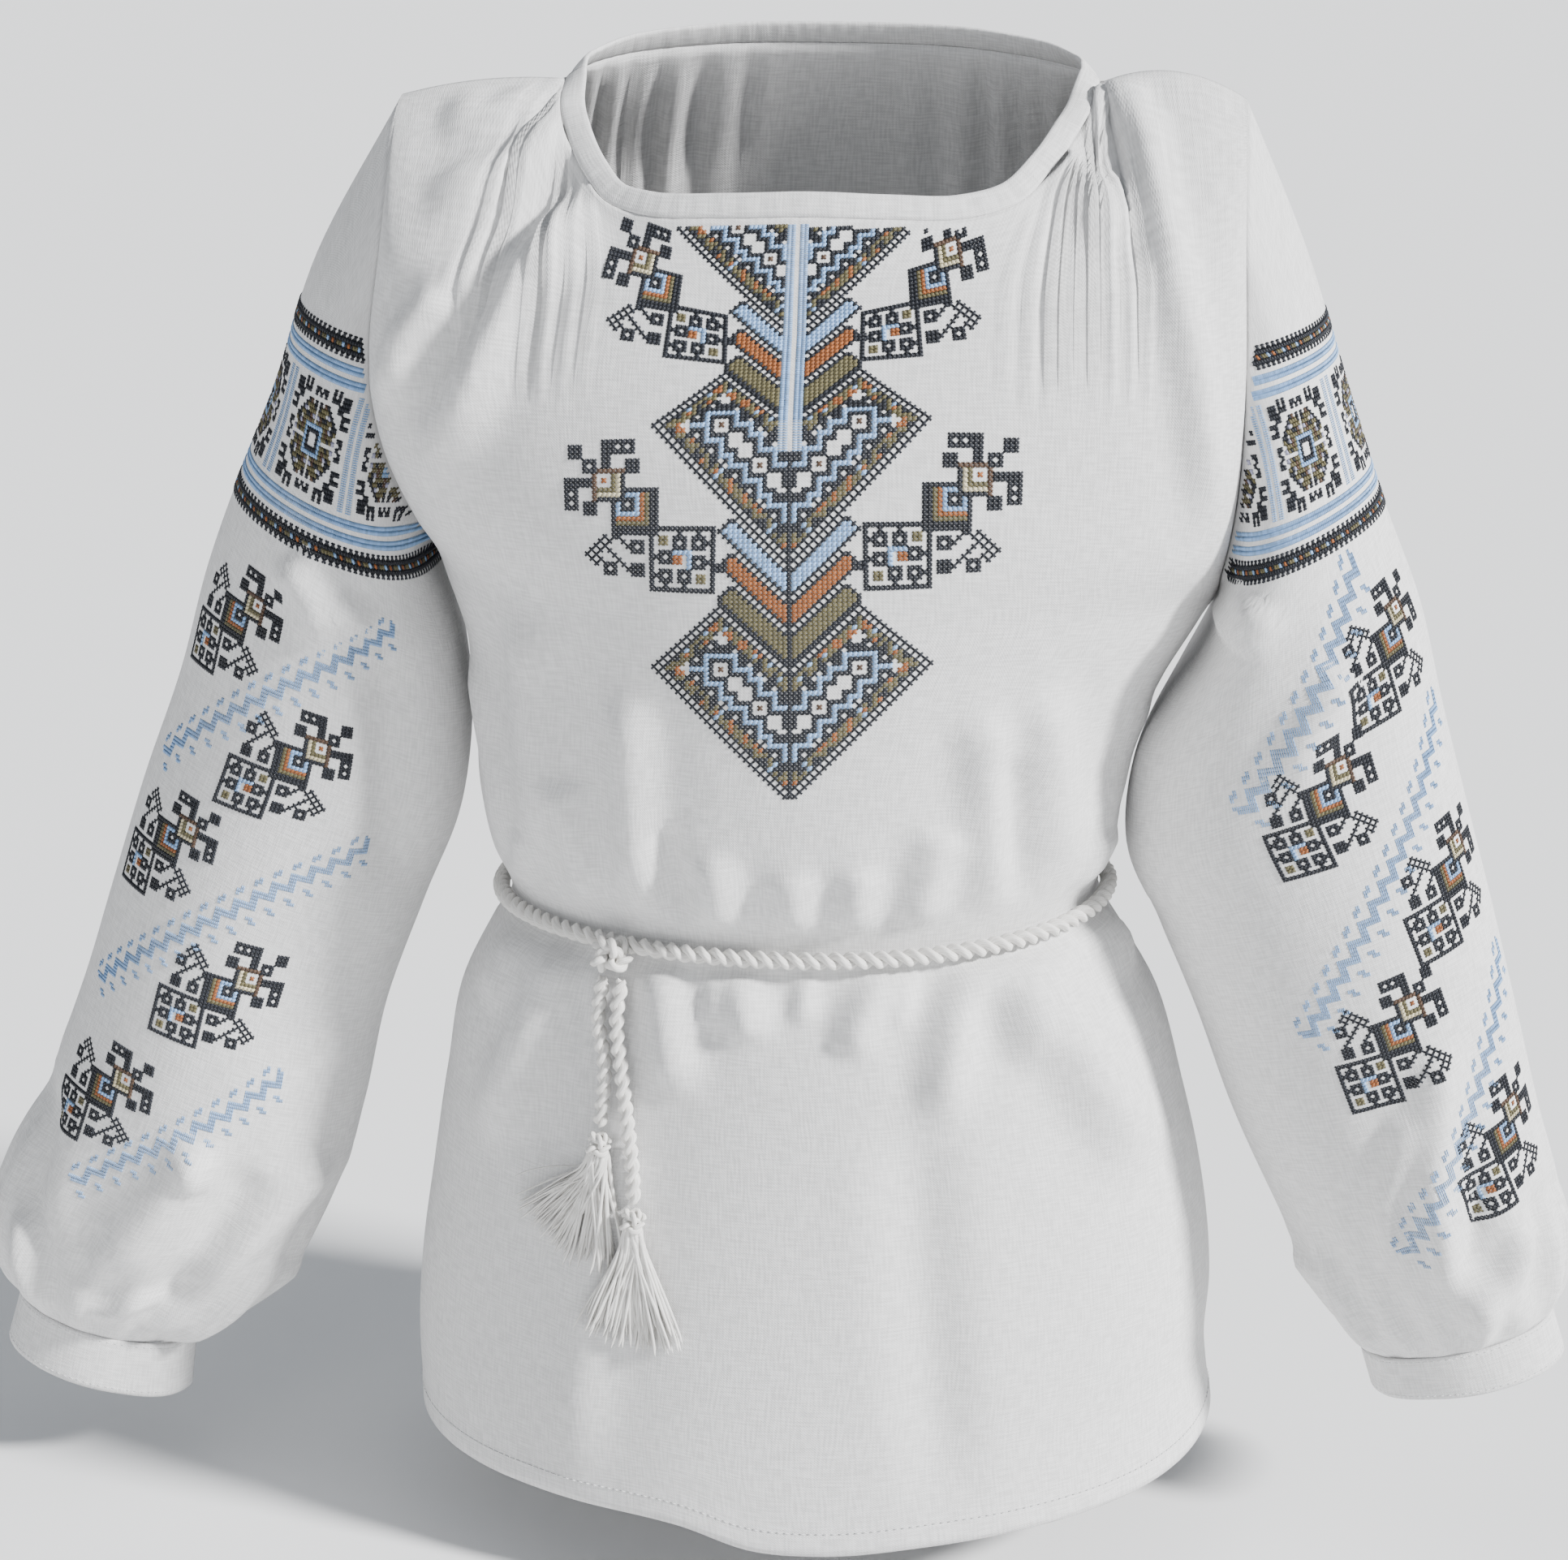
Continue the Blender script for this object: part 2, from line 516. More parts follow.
HEM_V, HEM_STEP = 0.0175, 0.5 * MM
FOLD_DEPTH = 2.3
WAIST_FADE, SIDE_FADE, BODY_HALF = 5 * MM, 18 * MM, 150 * MM
BELT_LINE = ((-140, 127), (-362, -355))


def distance_to_line(x, z, points):
    """Distance of each (x, z) from a line of straight runs, and a share that fades at the line's two ends."""
    points = np.array(points, float) * MM
    lengths = np.concatenate([[0], np.cumsum(np.linalg.norm(np.diff(points, axis=0), axis=1))])
    best, place = np.full_like(x, np.inf), np.zeros_like(x)
    for k, (start, run) in enumerate(zip(points[:-1], np.diff(points, axis=0))):
        t = np.clip(((x - start[0]) * run[0] + (z - start[1]) * run[1]) / (run @ run), 0, 1)
        away = np.hypot(x - start[0] - t * run[0], z - start[1] - t * run[1])
        nearer = away < best
        best = np.where(nearer, away, best)
        place = np.where(nearer, lengths[k] + t * np.linalg.norm(run), place)
    share = place / lengths[-1]
    return best, ease(share / 0.2 + 0.25) * ease((1 - share) / 0.35)


def fold_height(points):
    """How far the folds lift the cloth at these points. They fade out at the sides and under the belt."""
    x, y, z = points.T
    total = np.zeros_like(x)
    for face, width, height, line in FOLDS + FINE_FOLDS:
        away, fade = distance_to_line(x, z, line)
        r = away / (width * MM)
        total += height * MM * (1 - 0.6 * r * r) * np.exp(-0.8 * r * r) * fade * ease(face * y / SIDE_FADE)
    belt = np.interp(x / MM, *BELT_LINE) * MM
    on_body = abs(x) < BODY_HALF
    pinch = ease((abs(z - belt) - WAIST_FADE) / BELT_PINCH)
    return FOLD_DEPTH * total * np.where(on_body, pinch, 1)


def neck_gathers(u, v, face):
    """Small waves below the neck band. Their spacing drifts a little, as on a drawn thread."""
    share = abs(u) / NECK_SHARE
    place = np.clip((share - NECK_FROM[face]) / (1.12 - NECK_FROM[face]), 0, 1)
    below = (1 - v) / (1 - YOKE_V) * 40 / NECK_REACH
    turn = NECK_WAVES[face] * place + 0.22 * np.sin(11 * place + np.where(u > 0, 1.3, 0.2))
    size = (0.75 + 0.25 * np.sin(23 * place + u)) * ease(place * 4) * ease((1 - place) * 5)
    return NECK_WAVE * size * np.sin(2 * math.pi * turn) * below * np.exp(1 - below) * ease((v - 0.80) / 0.06)


def cuff_gathers(phi, s):
    """Waves just above the cuff seam, all round the sleeve."""
    below = (1 - s) / CUFF_REACH
    turn = CUFF_WAVES * phi / (2 * math.pi) + 0.2 * np.sin(3 * phi)
    size = 0.7 + 0.3 * np.sin(5 * phi + 1)
    return CUFF_WAVE * size * np.sin(2 * math.pi * turn) * below * np.exp(1 - below)


def toward_seam(normal, common, share):
    """Normals that turn to the seam's own as the share falls from 1 to 0."""
    return unit(normal * ease(share)[:, None] + common * (1 - ease(share))[:, None])


def body_cloth(u, v, face):
    """Points and normals of a body panel's outer face, folds, gathers and turned hem included."""
    u, v = np.broadcast_arrays(np.atleast_1d(u).astype(float), np.atleast_1d(v).astype(float))
    base, normal = body(u, v, face), body_normals(u, v, face)
    for side in (RIGHT, LEFT):
        near = (u * side > 0.9) & (v >= ARMPIT_V)
        if not near.any():
            continue
        half = np.arccos(np.clip(2 * (v[near] - ARMPIT_V) / (1 - ARMPIT_V) - 1, -1, 1))
        common, _ = armhole_seam(half if face == FRONT else 2 * math.pi - half, side)
        normal[near] = toward_seam(normal[near], common, (1 - abs(u[near])) / 0.1)
    lift = fold_height(base) + neck_gathers(u, v, face)
    lift += HEM_STEP * ease((HEM_V - v) / 0.001 + 0.5)
    return base + lift[:, None] * normal, normal


def sleeve_cloth(phi, s, side):
    """Points and normals of a sleeve's outer face."""
    phi, s = np.broadcast_arrays(np.atleast_1d(phi).astype(float), np.atleast_1d(s).astype(float))
    base, normal = sleeve(phi, s, side), sleeve_normals(phi, s, side)
    near = s < 0.06
    if near.any():
        common, _ = armhole_seam(phi[near], side)
        normal[near] = toward_seam(normal[near], common, s[near] / 0.06)
    lift = fold_height(base) + cuff_gathers(phi, s)
    return base + lift[:, None] * normal, normal


def cuff_cloth(around, share, side, lift):
    """Points and normals of a cuff: it starts at the inner wrist, goes once round and laps over its own start."""
    start = math.pi * 0.86
    phi = start + around * (2 * math.pi + CUFF_LAP)
    lap = ease((phi - start - 2 * math.pi + 0.75) / 0.7) * LAP_LIFT
    top, normal = sleeve(phi, 1.0, side), sleeve_normals(phi, 1.0, side)
    (outer_x, outer_z), (inner_x, inner_z) = CUFF_FOOT[side]
    mid_y = SLEEVES[side]["mid_y"][-1]
    outer, inner = MM * np.array([outer_x, mid_y, outer_z]), MM * np.array([inner_x, mid_y, inner_z])
    depth = MM * SLEEVES[side]["front"][-1] * CUFF_FLARE * np.sin(phi)
    foot = (outer + inner) / 2 + np.cos(phi)[:, None] * (outer - inner) / 2
    foot = foot - depth[:, None] * np.array([0, 1, 0])
    down = unit(foot - top)
    normal = unit(normal - (normal * down).sum(axis=1, keepdims=True) * down)
    return top + (foot - top) * share[:, None] + normal * (lap + lift)[:, None], normal


def neck_band_place(around, across):
    """Points of the closed band: a flat, soft-edged loop of cloth folded over the neckline."""
    turn = around * 2
    u = np.where(turn < 1, turn, 2 - turn) * 2 * NECK_SHARE - NECK_SHARE
    points, normal, inward = np.empty((len(u), 3)), np.empty((len(u), 3)), np.empty((len(u), 3))
    for face, mine in ((FRONT, turn < 1), (BACK, turn >= 1)):
        points[mine], normal[mine], inward[mine] = neck_seam(u[mine], face)
    angle = 2 * math.pi * across
    puff = 1 + 0.10 * np.sin(2 * math.pi * 74 * around + 2 * np.sin(40 * around))
    wide = (BAND_WIDTH / 2) * (1 - np.sign(np.cos(angle)) * abs(np.cos(angle)) ** 0.6)
    thick = 1.25 * MM * np.sign(np.sin(angle)) * abs(np.sin(angle)) ** 0.7 * puff
    return points + inward * wide[:, None] + normal * (thick - 0.2 * MM)[:, None]


print("folds:", len(FOLDS) + len(FINE_FOLDS))

# %% [markdown]
# Every soft piece starts as a flat grid, like cloth on the cutting table, and is then laid onto its place. The grid
# keeps its real size in metres as its UV map, so the weave stays the same size all over.

# %% Grids laid onto a surface
CLOTH_UV = "cloth"


def arc_lengths(points):
    return np.concatenate([[0], np.cumsum(np.linalg.norm(np.diff(points, axis=0), axis=1))])


def laid_grid(name, across, down, place, closed=False):
    """A grid of across by down squares, moved by place(a, b), where a and b run from 0 to 1 over it."""
    shape = bmesh.new()
    bmesh.ops.create_grid(shape, x_segments=across, y_segments=down, size=0.5)
    flat = np.array([vertex.co for vertex in shape.verts])[:, :2] + 0.5
    points = place(flat[:, 0], flat[:, 1])
    along = np.linspace(0, 1, 200)
    lengths = [arc_lengths(place(along, np.full(200, 0.5))), arc_lengths(place(np.full(200, 0.5), along))]
    real = np.stack([np.interp(flat[:, k], along, lengths[k]) for k in (0, 1)], axis=1)
    layer = shape.loops.layers.uv.new(CLOTH_UV)
    for vertex, point, uv in zip(shape.verts, points, real):
        vertex.co = point
        for loop in vertex.link_loops:
            loop[layer].uv = uv
    if closed:
        bmesh.ops.remove_doubles(shape, verts=shape.verts, dist=1e-6)
    face_outward(shape)
    mesh = bpy.data.meshes.new(name)
    shape.to_mesh(mesh)
    shape.free()
    mesh.shade_smooth()
    return mesh


def face_outward(shape):
    """Turns the faces so that they point away from the piece's middle."""
    bmesh.ops.recalc_face_normals(shape, faces=shape.faces)
    middle = Vector(np.mean([vertex.co for vertex in shape.verts], axis=0))
    outward = sum(face.normal.dot(face.calc_center_median() - middle) * face.calc_area() for face in shape.faces)
    if outward < 0:
        bmesh.ops.reverse_faces(shape, faces=shape.faces)


def add_piece(name, mesh, material, wall=0.0, node=None):
    """One visible piece, riding on the blouse. A wall goes inward from the outer face."""
    mesh.materials.append(material)
    item = bpy.data.objects.new(name, mesh)
    bpy.context.scene.collection.objects.link(item)
    if wall:
        solid = item.modifiers.new("wall", "SOLIDIFY")
        solid.thickness, solid.offset = wall, -1
    if node:
        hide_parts(node)
    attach(item, "root")
    return item


def area_of(mesh):
    return sum(polygon.area for polygon in mesh.polygons)


# %% [markdown]
# Plain-woven cotton: warp and weft cross every half millimetre, and single threads are thicker or thinner, which
# shows as fine streaks both ways. The streaks tint the cloth slightly and stand up as relief.

# %% Woven white cloth
WEAVE_PITCH, SLUB_LONG, SLUB_WIDE = 0.55 * MM, 9 * MM, 0.9 * MM


def math_node(tree, operation, first, second):
    node = tree.nodes.new("ShaderNodeMath")
    node.operation = operation
    for socket, value in zip(node.inputs, (first, second)):
        if isinstance(value, (int, float)):
            socket.default_value = value
        else:
            tree.links.new(value, socket)
    return node.outputs[0]


def stretched_noise(tree, vector, size_x, size_y, detail):
    """Noise whose grains are size_x by size_y metres on the cloth."""
    mapping = tree.nodes.new("ShaderNodeMapping")
    mapping.inputs["Scale"].default_value = (1 / size_x, 1 / size_y, 1)
    tree.links.new(vector, mapping.inputs["Vector"])
    noise = tree.nodes.new("ShaderNodeTexNoise")
    noise.noise_dimensions = "2D"
    noise.inputs["Scale"].default_value = 1.0
    noise.inputs["Detail"].default_value = detail
    tree.links.new(mapping.outputs[0], noise.inputs["Vector"])
    return noise.outputs[0]


def weave_group():
    """Puts out a slub mask and the height of the weave, in threads."""
    tree = bpy.data.node_groups.new("plain_weave", "ShaderNodeTree")
    tree.interface.new_socket("Slub", in_out="OUTPUT", socket_type="NodeSocketFloat")
    tree.interface.new_socket("Height", in_out="OUTPUT", socket_type="NodeSocketFloat")
    uv = tree.nodes.new("ShaderNodeUVMap")
    uv.uv_map = CLOTH_UV
    apart = tree.nodes.new("ShaderNodeSeparateXYZ")
    tree.links.new(uv.outputs[0], apart.inputs[0])
    turns = 2 * math.pi / (2 * WEAVE_PITCH)
    warp = math_node(tree, "SINE", math_node(tree, "MULTIPLY", apart.outputs[0], turns), 0.0)
    weft = math_node(tree, "SINE", math_node(tree, "MULTIPLY", apart.outputs[1], turns), 0.0)
    crossing = math_node(tree, "MULTIPLY", warp, weft)
    slub = math_node(tree, "MULTIPLY",
                     math_node(tree, "ADD", stretched_noise(tree, uv.outputs[0], SLUB_LONG, SLUB_WIDE, 0.0),
                               stretched_noise(tree, uv.outputs[0], SLUB_WIDE, SLUB_LONG, 0.0)), 0.5)
    height = math_node(tree, "ADD", math_node(tree, "MULTIPLY", crossing, 0.5), math_node(tree, "MULTIPLY", slub, 2.2))
    out = tree.nodes.new("NodeGroupOutput")
    tree.links.new(slub, out.inputs["Slub"])
    tree.links.new(height, out.inputs["Height"])
    return tree


def shaded_by(material, group, light, dark, height_out, distance, strength):
    """Colours a material between two shades by the group's first output, and adds its height as relief."""
    tree = material.node_tree
    shader = tree.nodes["Principled BSDF"]
    surface = tree.nodes.new("ShaderNodeGroup")
    surface.node_tree = group
    ramp = tree.nodes.new("ShaderNodeValToRGB")
    ramp.color_ramp.elements[0].position, ramp.color_ramp.elements[1].position = 0.3, 0.7
    ramp.color_ramp.elements[0].color = (*dark, 1)
    ramp.color_ramp.elements[1].color = (*light, 1)
    tree.links.new(surface.outputs[0], ramp.inputs[0])
    tree.links.new(ramp.outputs[0], shader.inputs["Base Color"])
    bump = tree.nodes.new("ShaderNodeBump")
    bump.inputs["Distance"].default_value = distance
    bump.inputs["Strength"].default_value = strength
    tree.links.new(surface.outputs[height_out], bump.inputs["Height"])
    tree.links.new(bump.outputs[0], shader.inputs["Normal"])


white_cloth = plain_material("white_cloth", (0.80, 0.80, 0.79), 0.92)
shaded_by(white_cloth, weave_group(), (0.76, 0.755, 0.75), (0.62, 0.615, 0.61), "Height", 0.12 * MM, 0.7)
print("weave pitch", WEAVE_PITCH, "m")

# %% [markdown]
# The garment's pieces: two body panels, two sleeves gathered into cuffs, and the neck band. Each is one thin sheet
# with the thickness of folded cotton on the inner side. Cut flat, each is a little larger than its place.

# %% Body, sleeves, cuffs and neck band
PANEL_GRID = {FRONT: (156, 172), BACK: (104, 112)}
SLEEVE_GRID, CUFF_GRID, BAND_GRID = (112, 128), (110, 14), (420, 12)
FACE_WORD, SIDE_WORD = {FRONT: "front", BACK: "back"}, {RIGHT: "right", LEFT: "left"}
pieces = {}
for face, (across, down) in PANEL_GRID.items():
    mesh = laid_grid(FACE_WORD[face], across, down, lambda a, b: body_cloth(2 * a - 1, b, face)[0])
    pieces[FACE_WORD[face]] = add_piece(f"{FACE_WORD[face]}_cloth", mesh, white_cloth, CLOTH,
                                        FACE_WORD[face])
for side, word in SIDE_WORD.items():
    mesh = laid_grid(f"sleeve_{word}", *SLEEVE_GRID,
                     lambda a, b: sleeve_cloth(math.pi + 2 * math.pi * a, b, side)[0], closed=True)
    pieces[f"sleeve_{word}"] = add_piece(f"sleeve_{word}_cloth", mesh, white_cloth, CLOTH,
                                         f"sleeve_{word}")
    mesh = laid_grid(f"cuff_{word}", *CUFF_GRID, lambda a, b: cuff_cloth(a, b, side, 0.5 * MM)[0])
    pieces[f"cuff_{word}"] = add_piece(f"cuff_{word}_cloth", mesh, white_cloth, CUFF_CLOTH,
                                       f"cuff_{word}")
mesh = laid_grid("neck_band", *BAND_GRID, neck_band_place, closed=True)
pieces["neck_band"] = add_piece("neck_band_cloth", mesh, white_cloth, 0.0, "neck_band")
for name, piece in pieces.items():
    print(name, "area", round(area_of(piece.data), 4), "m2")

# %% [markdown]
# The embroidery is counted cross-stitch: each square of the pattern gets two short threads, one over the other,
# and light-blue ladders get pairs of parallel threads. Real threads are used here, so that they catch the light.
# A pattern is charted by counting, as a stitcher would: a chart maps (row, column) to a colour and a kind of stitch.

# %% Charts: colours and small figures
DARK, BLUE, RUST, OLIVE, BROWN, CREAM, LILAC = range(7)
THREADS = {DARK: (0.006, 0.008, 0.014), BLUE: (0.25, 0.41, 0.66), RUST: (0.27, 0.085, 0.02),
           OLIVE: (0.11, 0.095, 0.042), BROWN: (0.075, 0.040, 0.022), CREAM: (0.56, 0.50, 0.33), LILAC: (0.30, 0.30, 0.42)}
CROSS, UPRIGHT, LEVEL = range(3)


class Chart(dict):
    """Stitches by (row, column), rows counted downward."""

    def fill(self, rows, columns, colour, kind=CROSS):
        for row in rows:
            for column in columns:
                self[row, column] = (colour, kind)

    def clear(self, rows, columns):
        for row in rows:
            for column in columns:
                self.pop((row, column), None)

    def ring(self, row, column, hole=None):
        """A square of three by three with its middle left open, or in another colour."""
        self.fill(range(row, row + 3), range(column, column + 3), DARK)
        self.pop((row + 1, column + 1))
        if hole is not None:
            self[row + 1, column + 1] = (hole, CROSS)

    def add(self, other, row=0, column=0):
        for (r, c), stitch in other.items():
            self[r + row, c + column] = stitch


def steps(*corners):
    """Cells of a stepped line through the corners, each run along a row or a column."""
    cells = []
    for (row, column), (next_row, next_column) in zip(corners, corners[1:]):
        length = max(abs(next_row - row), abs(next_column - column), 1)
        for k in range(length + 1):
            cells.append((row + (next_row - row) * k // length, column + (next_column - column) * k // length))
    return cells


def speckled(a, b):
    """Mixed threads in small clusters, the same on both sides of the middle."""
    drift = math.sin(0.9 * a + 1.3 * b) + math.sin(1.7 * a - 0.6 * b + 1)
    if (a * 7 + b * 13 + a * b) % 11 == 0:
        return BLUE
    if drift > 0.75:
        return RUST
    return DARK if drift < -1.1 or (a + 3 * b) % 9 == 0 else OLIVE


# %% [markdown]
# The chest column is three hearts, one under the other, with striped chevrons between them. A heart is a set of
# lozenge rings counted inward from its outline: dark, open, dark, three mixed rings, then a dark field with open
# squares and light-blue stairs. The top heart is cut off by the neck band.

# %% Chest column
HEART_ROWS, HEART_HALF, LAST_ROW = (0, 51, 102), 28, 130
OPEN_SQUARES = ((14, 0), (11, 3), (9, 5), (6, 8), (3, 11))
FIELD_DOTS = {19, 16, 14, 13, 11, 8, 6, 5, 3}
LOWER_STAIR = steps((-3, 11), (-3, 17), (3, 17), (3, 14), (6, 14), (6, 12), (8, 12), (8, 9), (11, 9), (11, 6),
                    (14, 6), (14, 4), (16, 4), (16, 1), (19, 1))
UPPER_STAIR = steps((-3, 11), (0, 11), (0, 8), (2, 8), (2, 6), (5, 6), (5, 3), (8, 3), (8, 1))
CHEVRONS = ((30, 30, DARK, 7), (31, 34, BLUE, 7), (35, 35, DARK, 7), (37, 37, DARK, 14), (38, 41, RUST, 14),
            (42, 42, DARK, 14), (44, 44, DARK, 21), (45, 49, OLIVE, 21), (50, 50, DARK, 21))
STUB_ROWS, STUB_COLUMNS = (28, 29), (13, 14, 15)
LADDER_ROWS = range(-2, 57)


def heart_stitch(a, b):
    """Colour at a stitches from the middle and b rows below the centre: None outside, -1 for open cloth."""
    depth = min(HEART_HALF - a - abs(b), a + b)
    if depth < 0:
        return None
    if depth in (0, 2):
        return DARK
    if depth == 1:
        return -1
    if depth <= 5:
        return speckled(a, b)
    if any(abs(a - x) <= 1 and abs(b - y) <= 1 for x, y in OPEN_SQUARES):
        return BROWN if (a, b) in ((14, 0), (6, 8)) else -1
    if (b, a) in LOWER_STAIR or (b, a) in UPPER_STAIR or (b == 0 and 18 <= a <= 20):
        return BLUE
    if any(abs(a - x) + abs(b - y) <= 1 for x, y in ((26, 0), (14, -12), (21, 0), (14, -7))):
        return -1
    if (depth == 7 and a in FIELD_DOTS) or (a in (1, 2) and b == 13):
        return -1
    return DARK


def chevron_stitch(a, b):
    """Colour of the striped chevrons under a heart: they follow its lower edge and end in a dark line."""
    along, end = a + b, b - a
    for first, last, colour, stop in CHEVRONS:
        if first <= along <= last and end >= stop:
            return DARK if end == stop else colour
    return None


def chest_chart():
    chart = Chart()
    for row in range(LAST_ROW + 1):
        for column in range(-HEART_HALF, HEART_HALF + 1):
            for centre in HEART_ROWS:
                found = heart_stitch(abs(column), row - centre)
                if found is not None:
                    break
            if found is None:
                for centre in HEART_ROWS[:-1]:
                    found = chevron_stitch(abs(column), row - centre) if found is None else found
            if found is not None and found >= 0:
                chart[row, column] = (found, CROSS)
    for centre in HEART_ROWS[:-1]:
        for sign in (-1, 1):
            chart.fill([centre + row for row in STUB_ROWS], [sign * column for column in STUB_COLUMNS], DARK)
    chart.fill(range(LADDER_ROWS[-1] + 1, LAST_ROW + 1), [0], DARK)
    chart.clear(LADDER_ROWS, [0])
    chart.fill(LADDER_ROWS, (-2, -1, 1, 2), BLUE, LEVEL)
    return chart


# %% [markdown]
# The side motif: a framed block with six rings, an L-shaped corner piece behind it, and a flower with two hooks on
# the diagonal. A wing hangs on the block's side, and on the sleeves a second one on its other side.

# %% Side motif
WING_HOLES = ((2, -9), (3, -10), (4, -11), (5, -12), (6, -13), (7, -12), (8, -11))


def motif_chart(wings):
    chart = Chart()
    for wing in range(wings):
        part = Chart()
        for row, column in WING_HOLES:
            part[row, column - 1] = part[row, column + 1] = (DARK, CROSS)
        part.ring(8, -10)
        part.ring(3, -4)
        part.fill(range(8, 11), range(-4, -1), DARK)
        for k in range(5):
            part[5 + k, -9 + k] = (DARK, CROSS)
        for k in range(3):
            part[2 + k, -7 + k] = (DARK, CROSS)
        for (row, column), stitch in part.items():
            chart[(row, column) if wing == 0 else (column, row)] = stitch
    frame_line = steps((0, 0), (0, 13), (13, 13), (13, 0), (0, 0))
    chart.clear(range(14), range(14))
    for row, column in frame_line + [(1, 6), (1, 10), (3, 12), (7, 12), (12, 3), (12, 7), (6, 1), (10, 1)]:
        chart[row, column] = (DARK, CROSS)
    for row, column in ((2, 5), (2, 9), (5, 2), (6, 9), (9, 2), (9, 6)):
        chart.ring(row, column)
    chart.fill((2, 3), (2, 3), OLIVE)
    chart.fill((10, 11), (10, 11), OLIVE)
    chart.fill((6, 7), (5, 6), RUST)
    for row, column in steps((5, 5), (5, 8), (8, 8)):
        chart[row, column] = (BLUE, CROSS)
    corner_piece(chart)
    flower(chart)
    return chart


def corner_piece(chart):
    chart.clear(range(-8, 0), range(-8, 0))
    chart.fill(range(-8, 2), (0, 1), DARK)
    chart.fill((0, 1), range(-8, 2), DARK)
    for colour, line in ((DARK, ((-8, 1), (-8, -8), (1, -8))), (RUST, ((-7, -2), (-2, -2), (-2, -7))),
                         (OLIVE, ((-7, -1), (-1, -1), (-1, -7))),
                         (BLUE, ((-7, -7), (-7, -3), (-3, -3), (-3, -7), (-7, -7)))):
        for row, column in steps(*line):
            chart[row, column] = (colour, CROSS)
    chart.ring(-6, -6)


def flower(chart):
    chart.clear(range(-12, -5), range(-12, -5))
    for colour, line in ((DARK, ((-6, -12), (-6, -6), (-12, -6))), (BROWN, ((-12, -6), (-12, -12), (-6, -12))),
                         (OLIVE, ((-8, -11), (-8, -8), (-11, -8))), (CREAM, ((-7, -11), (-7, -7), (-11, -7)))):
        for row, column in steps(*line):
            chart[row, column] = (colour, CROSS)
    chart[-10, -10] = (RUST, CROSS)
    hook = Chart()
    hook.fill(range(-18, -12), (-10, -9), DARK)
    hook.fill(range(-18, -15), range(-8, -3), DARK)
    hook.clear([-17], (-7, -5))
    hook.fill(range(-14, -11), range(-5, -2), DARK)
    for (row, column), stitch in hook.items():
        chart[row, column] = chart[column, row] = stitch
    chart.ring(-14, -14)
    chart.fill(range(-17, -14), range(-17, -14), DARK)


# %% [markdown]
# Each sleeve has a band round the upper arm: braided borders, light-blue ladders and a row of rosettes in panels.
# Below it, motifs and light-blue stepped lines climb the sleeve slantwise.

# %% Sleeve band and stepped lines
BAND_ROWS, PANEL_FROM, PANEL_ROWS, PERIOD = 49, 12, 25, 32
LADDERS_DOWN, LADDERS_ACROSS, BORDERS = (6, 9, 38, 41), (26, 29), (0, 44)


def rosette_stitch(a, b):
    """Colour at a columns and b rows from a rosette's middle."""
    reach = max(a, b)
    if reach <= 3:
        return BLUE if reach == 3 else DARK if reach == 2 else -1
    if min(a, b) == 0 and reach <= 8:
        return -1
    if reach <= 8 and a + b <= 12:
        if a + b == 10 and a % 2 == 0:
            return -1
        shade = speckled(a, b)
        return {BLUE: LILAC, RUST: BROWN}.get(shade, shade) if a + b < 12 else DARK
    if min(a, b) >= 9 and reach <= 11:
        return DARK
    low, high = min(a, b), max(a, b)
    if 5 <= low <= 7 and 10 <= high <= 12 and not (low == 6 and high >= 11):
        return DARK
    return DARK if (low, high) in ((8, 8), (8, 9), (2, 10), (2, 11), (1, 11), (0, 10)) else None


def band_chart(periods):
    chart = Chart()
    for column in range(PERIOD * periods):
        for border in BORDERS:
            for row in (0, 4):
                if column % 2 == 0:
                    chart[border + row, column] = (DARK, CROSS)
            chart[border + 1, column] = chart[border + 3, column] = (DARK, CROSS)
            middle = (OLIVE, OLIVE, DARK, RUST, DARK, BLUE)[column % 6]
            chart[border + 2, column] = (middle, CROSS)
        for row in LADDERS_DOWN:
            chart.fill((row, row + 1), [column], BLUE, UPRIGHT)
    panel_rows = range(PANEL_FROM, PANEL_FROM + PANEL_ROWS)
    middle = PANEL_ROWS // 2
    for period in range(periods):
        start = PERIOD * period
        for column in LADDERS_ACROSS:
            chart.fill(panel_rows, (start + column, start + column + 1), BLUE, LEVEL)
        for row in range(PANEL_ROWS):
            for column in range(PANEL_ROWS):
                found = rosette_stitch(abs(column - middle), abs(row - middle))
                if found is not None and found >= 0:
                    chart[PANEL_FROM + row, start + column] = (found, CROSS)
    return chart


def stairs_chart(count):
    """A stepped line that climbs to the right, with a leaf at each step."""
    chart = Chart()
    for k in range(count):
        row, column = 4 * (count // 2 - k), 4 * (k - count // 2)
        for r, c in steps((row, column), (row, column + 4), (row - 4, column + 4)):
            chart[r, c] = (BLUE, UPRIGHT)
            chart[r + 1, c + 1] = (BLUE, UPRIGHT)
        for r, c in ((-2, 0), (-3, 0), (-3, 1), (-4, 1), (4, 4), (4, 5), (5, 5), (5, 6)):
            chart[row + r, column + c] = (BLUE, UPRIGHT)
    return chart


print("chest column:", len(chest_chart()), "stitches; motif:", len(motif_chart(1)))

# %% [markdown]
# A chart is laid on the worn cloth through the corners of its squares. For the chest each corner is given its
# place (x, z) seen from the front, and the panel's own shares u and v are found there by a search and a few steps
# of Newton's method. The stitches then follow every fold.

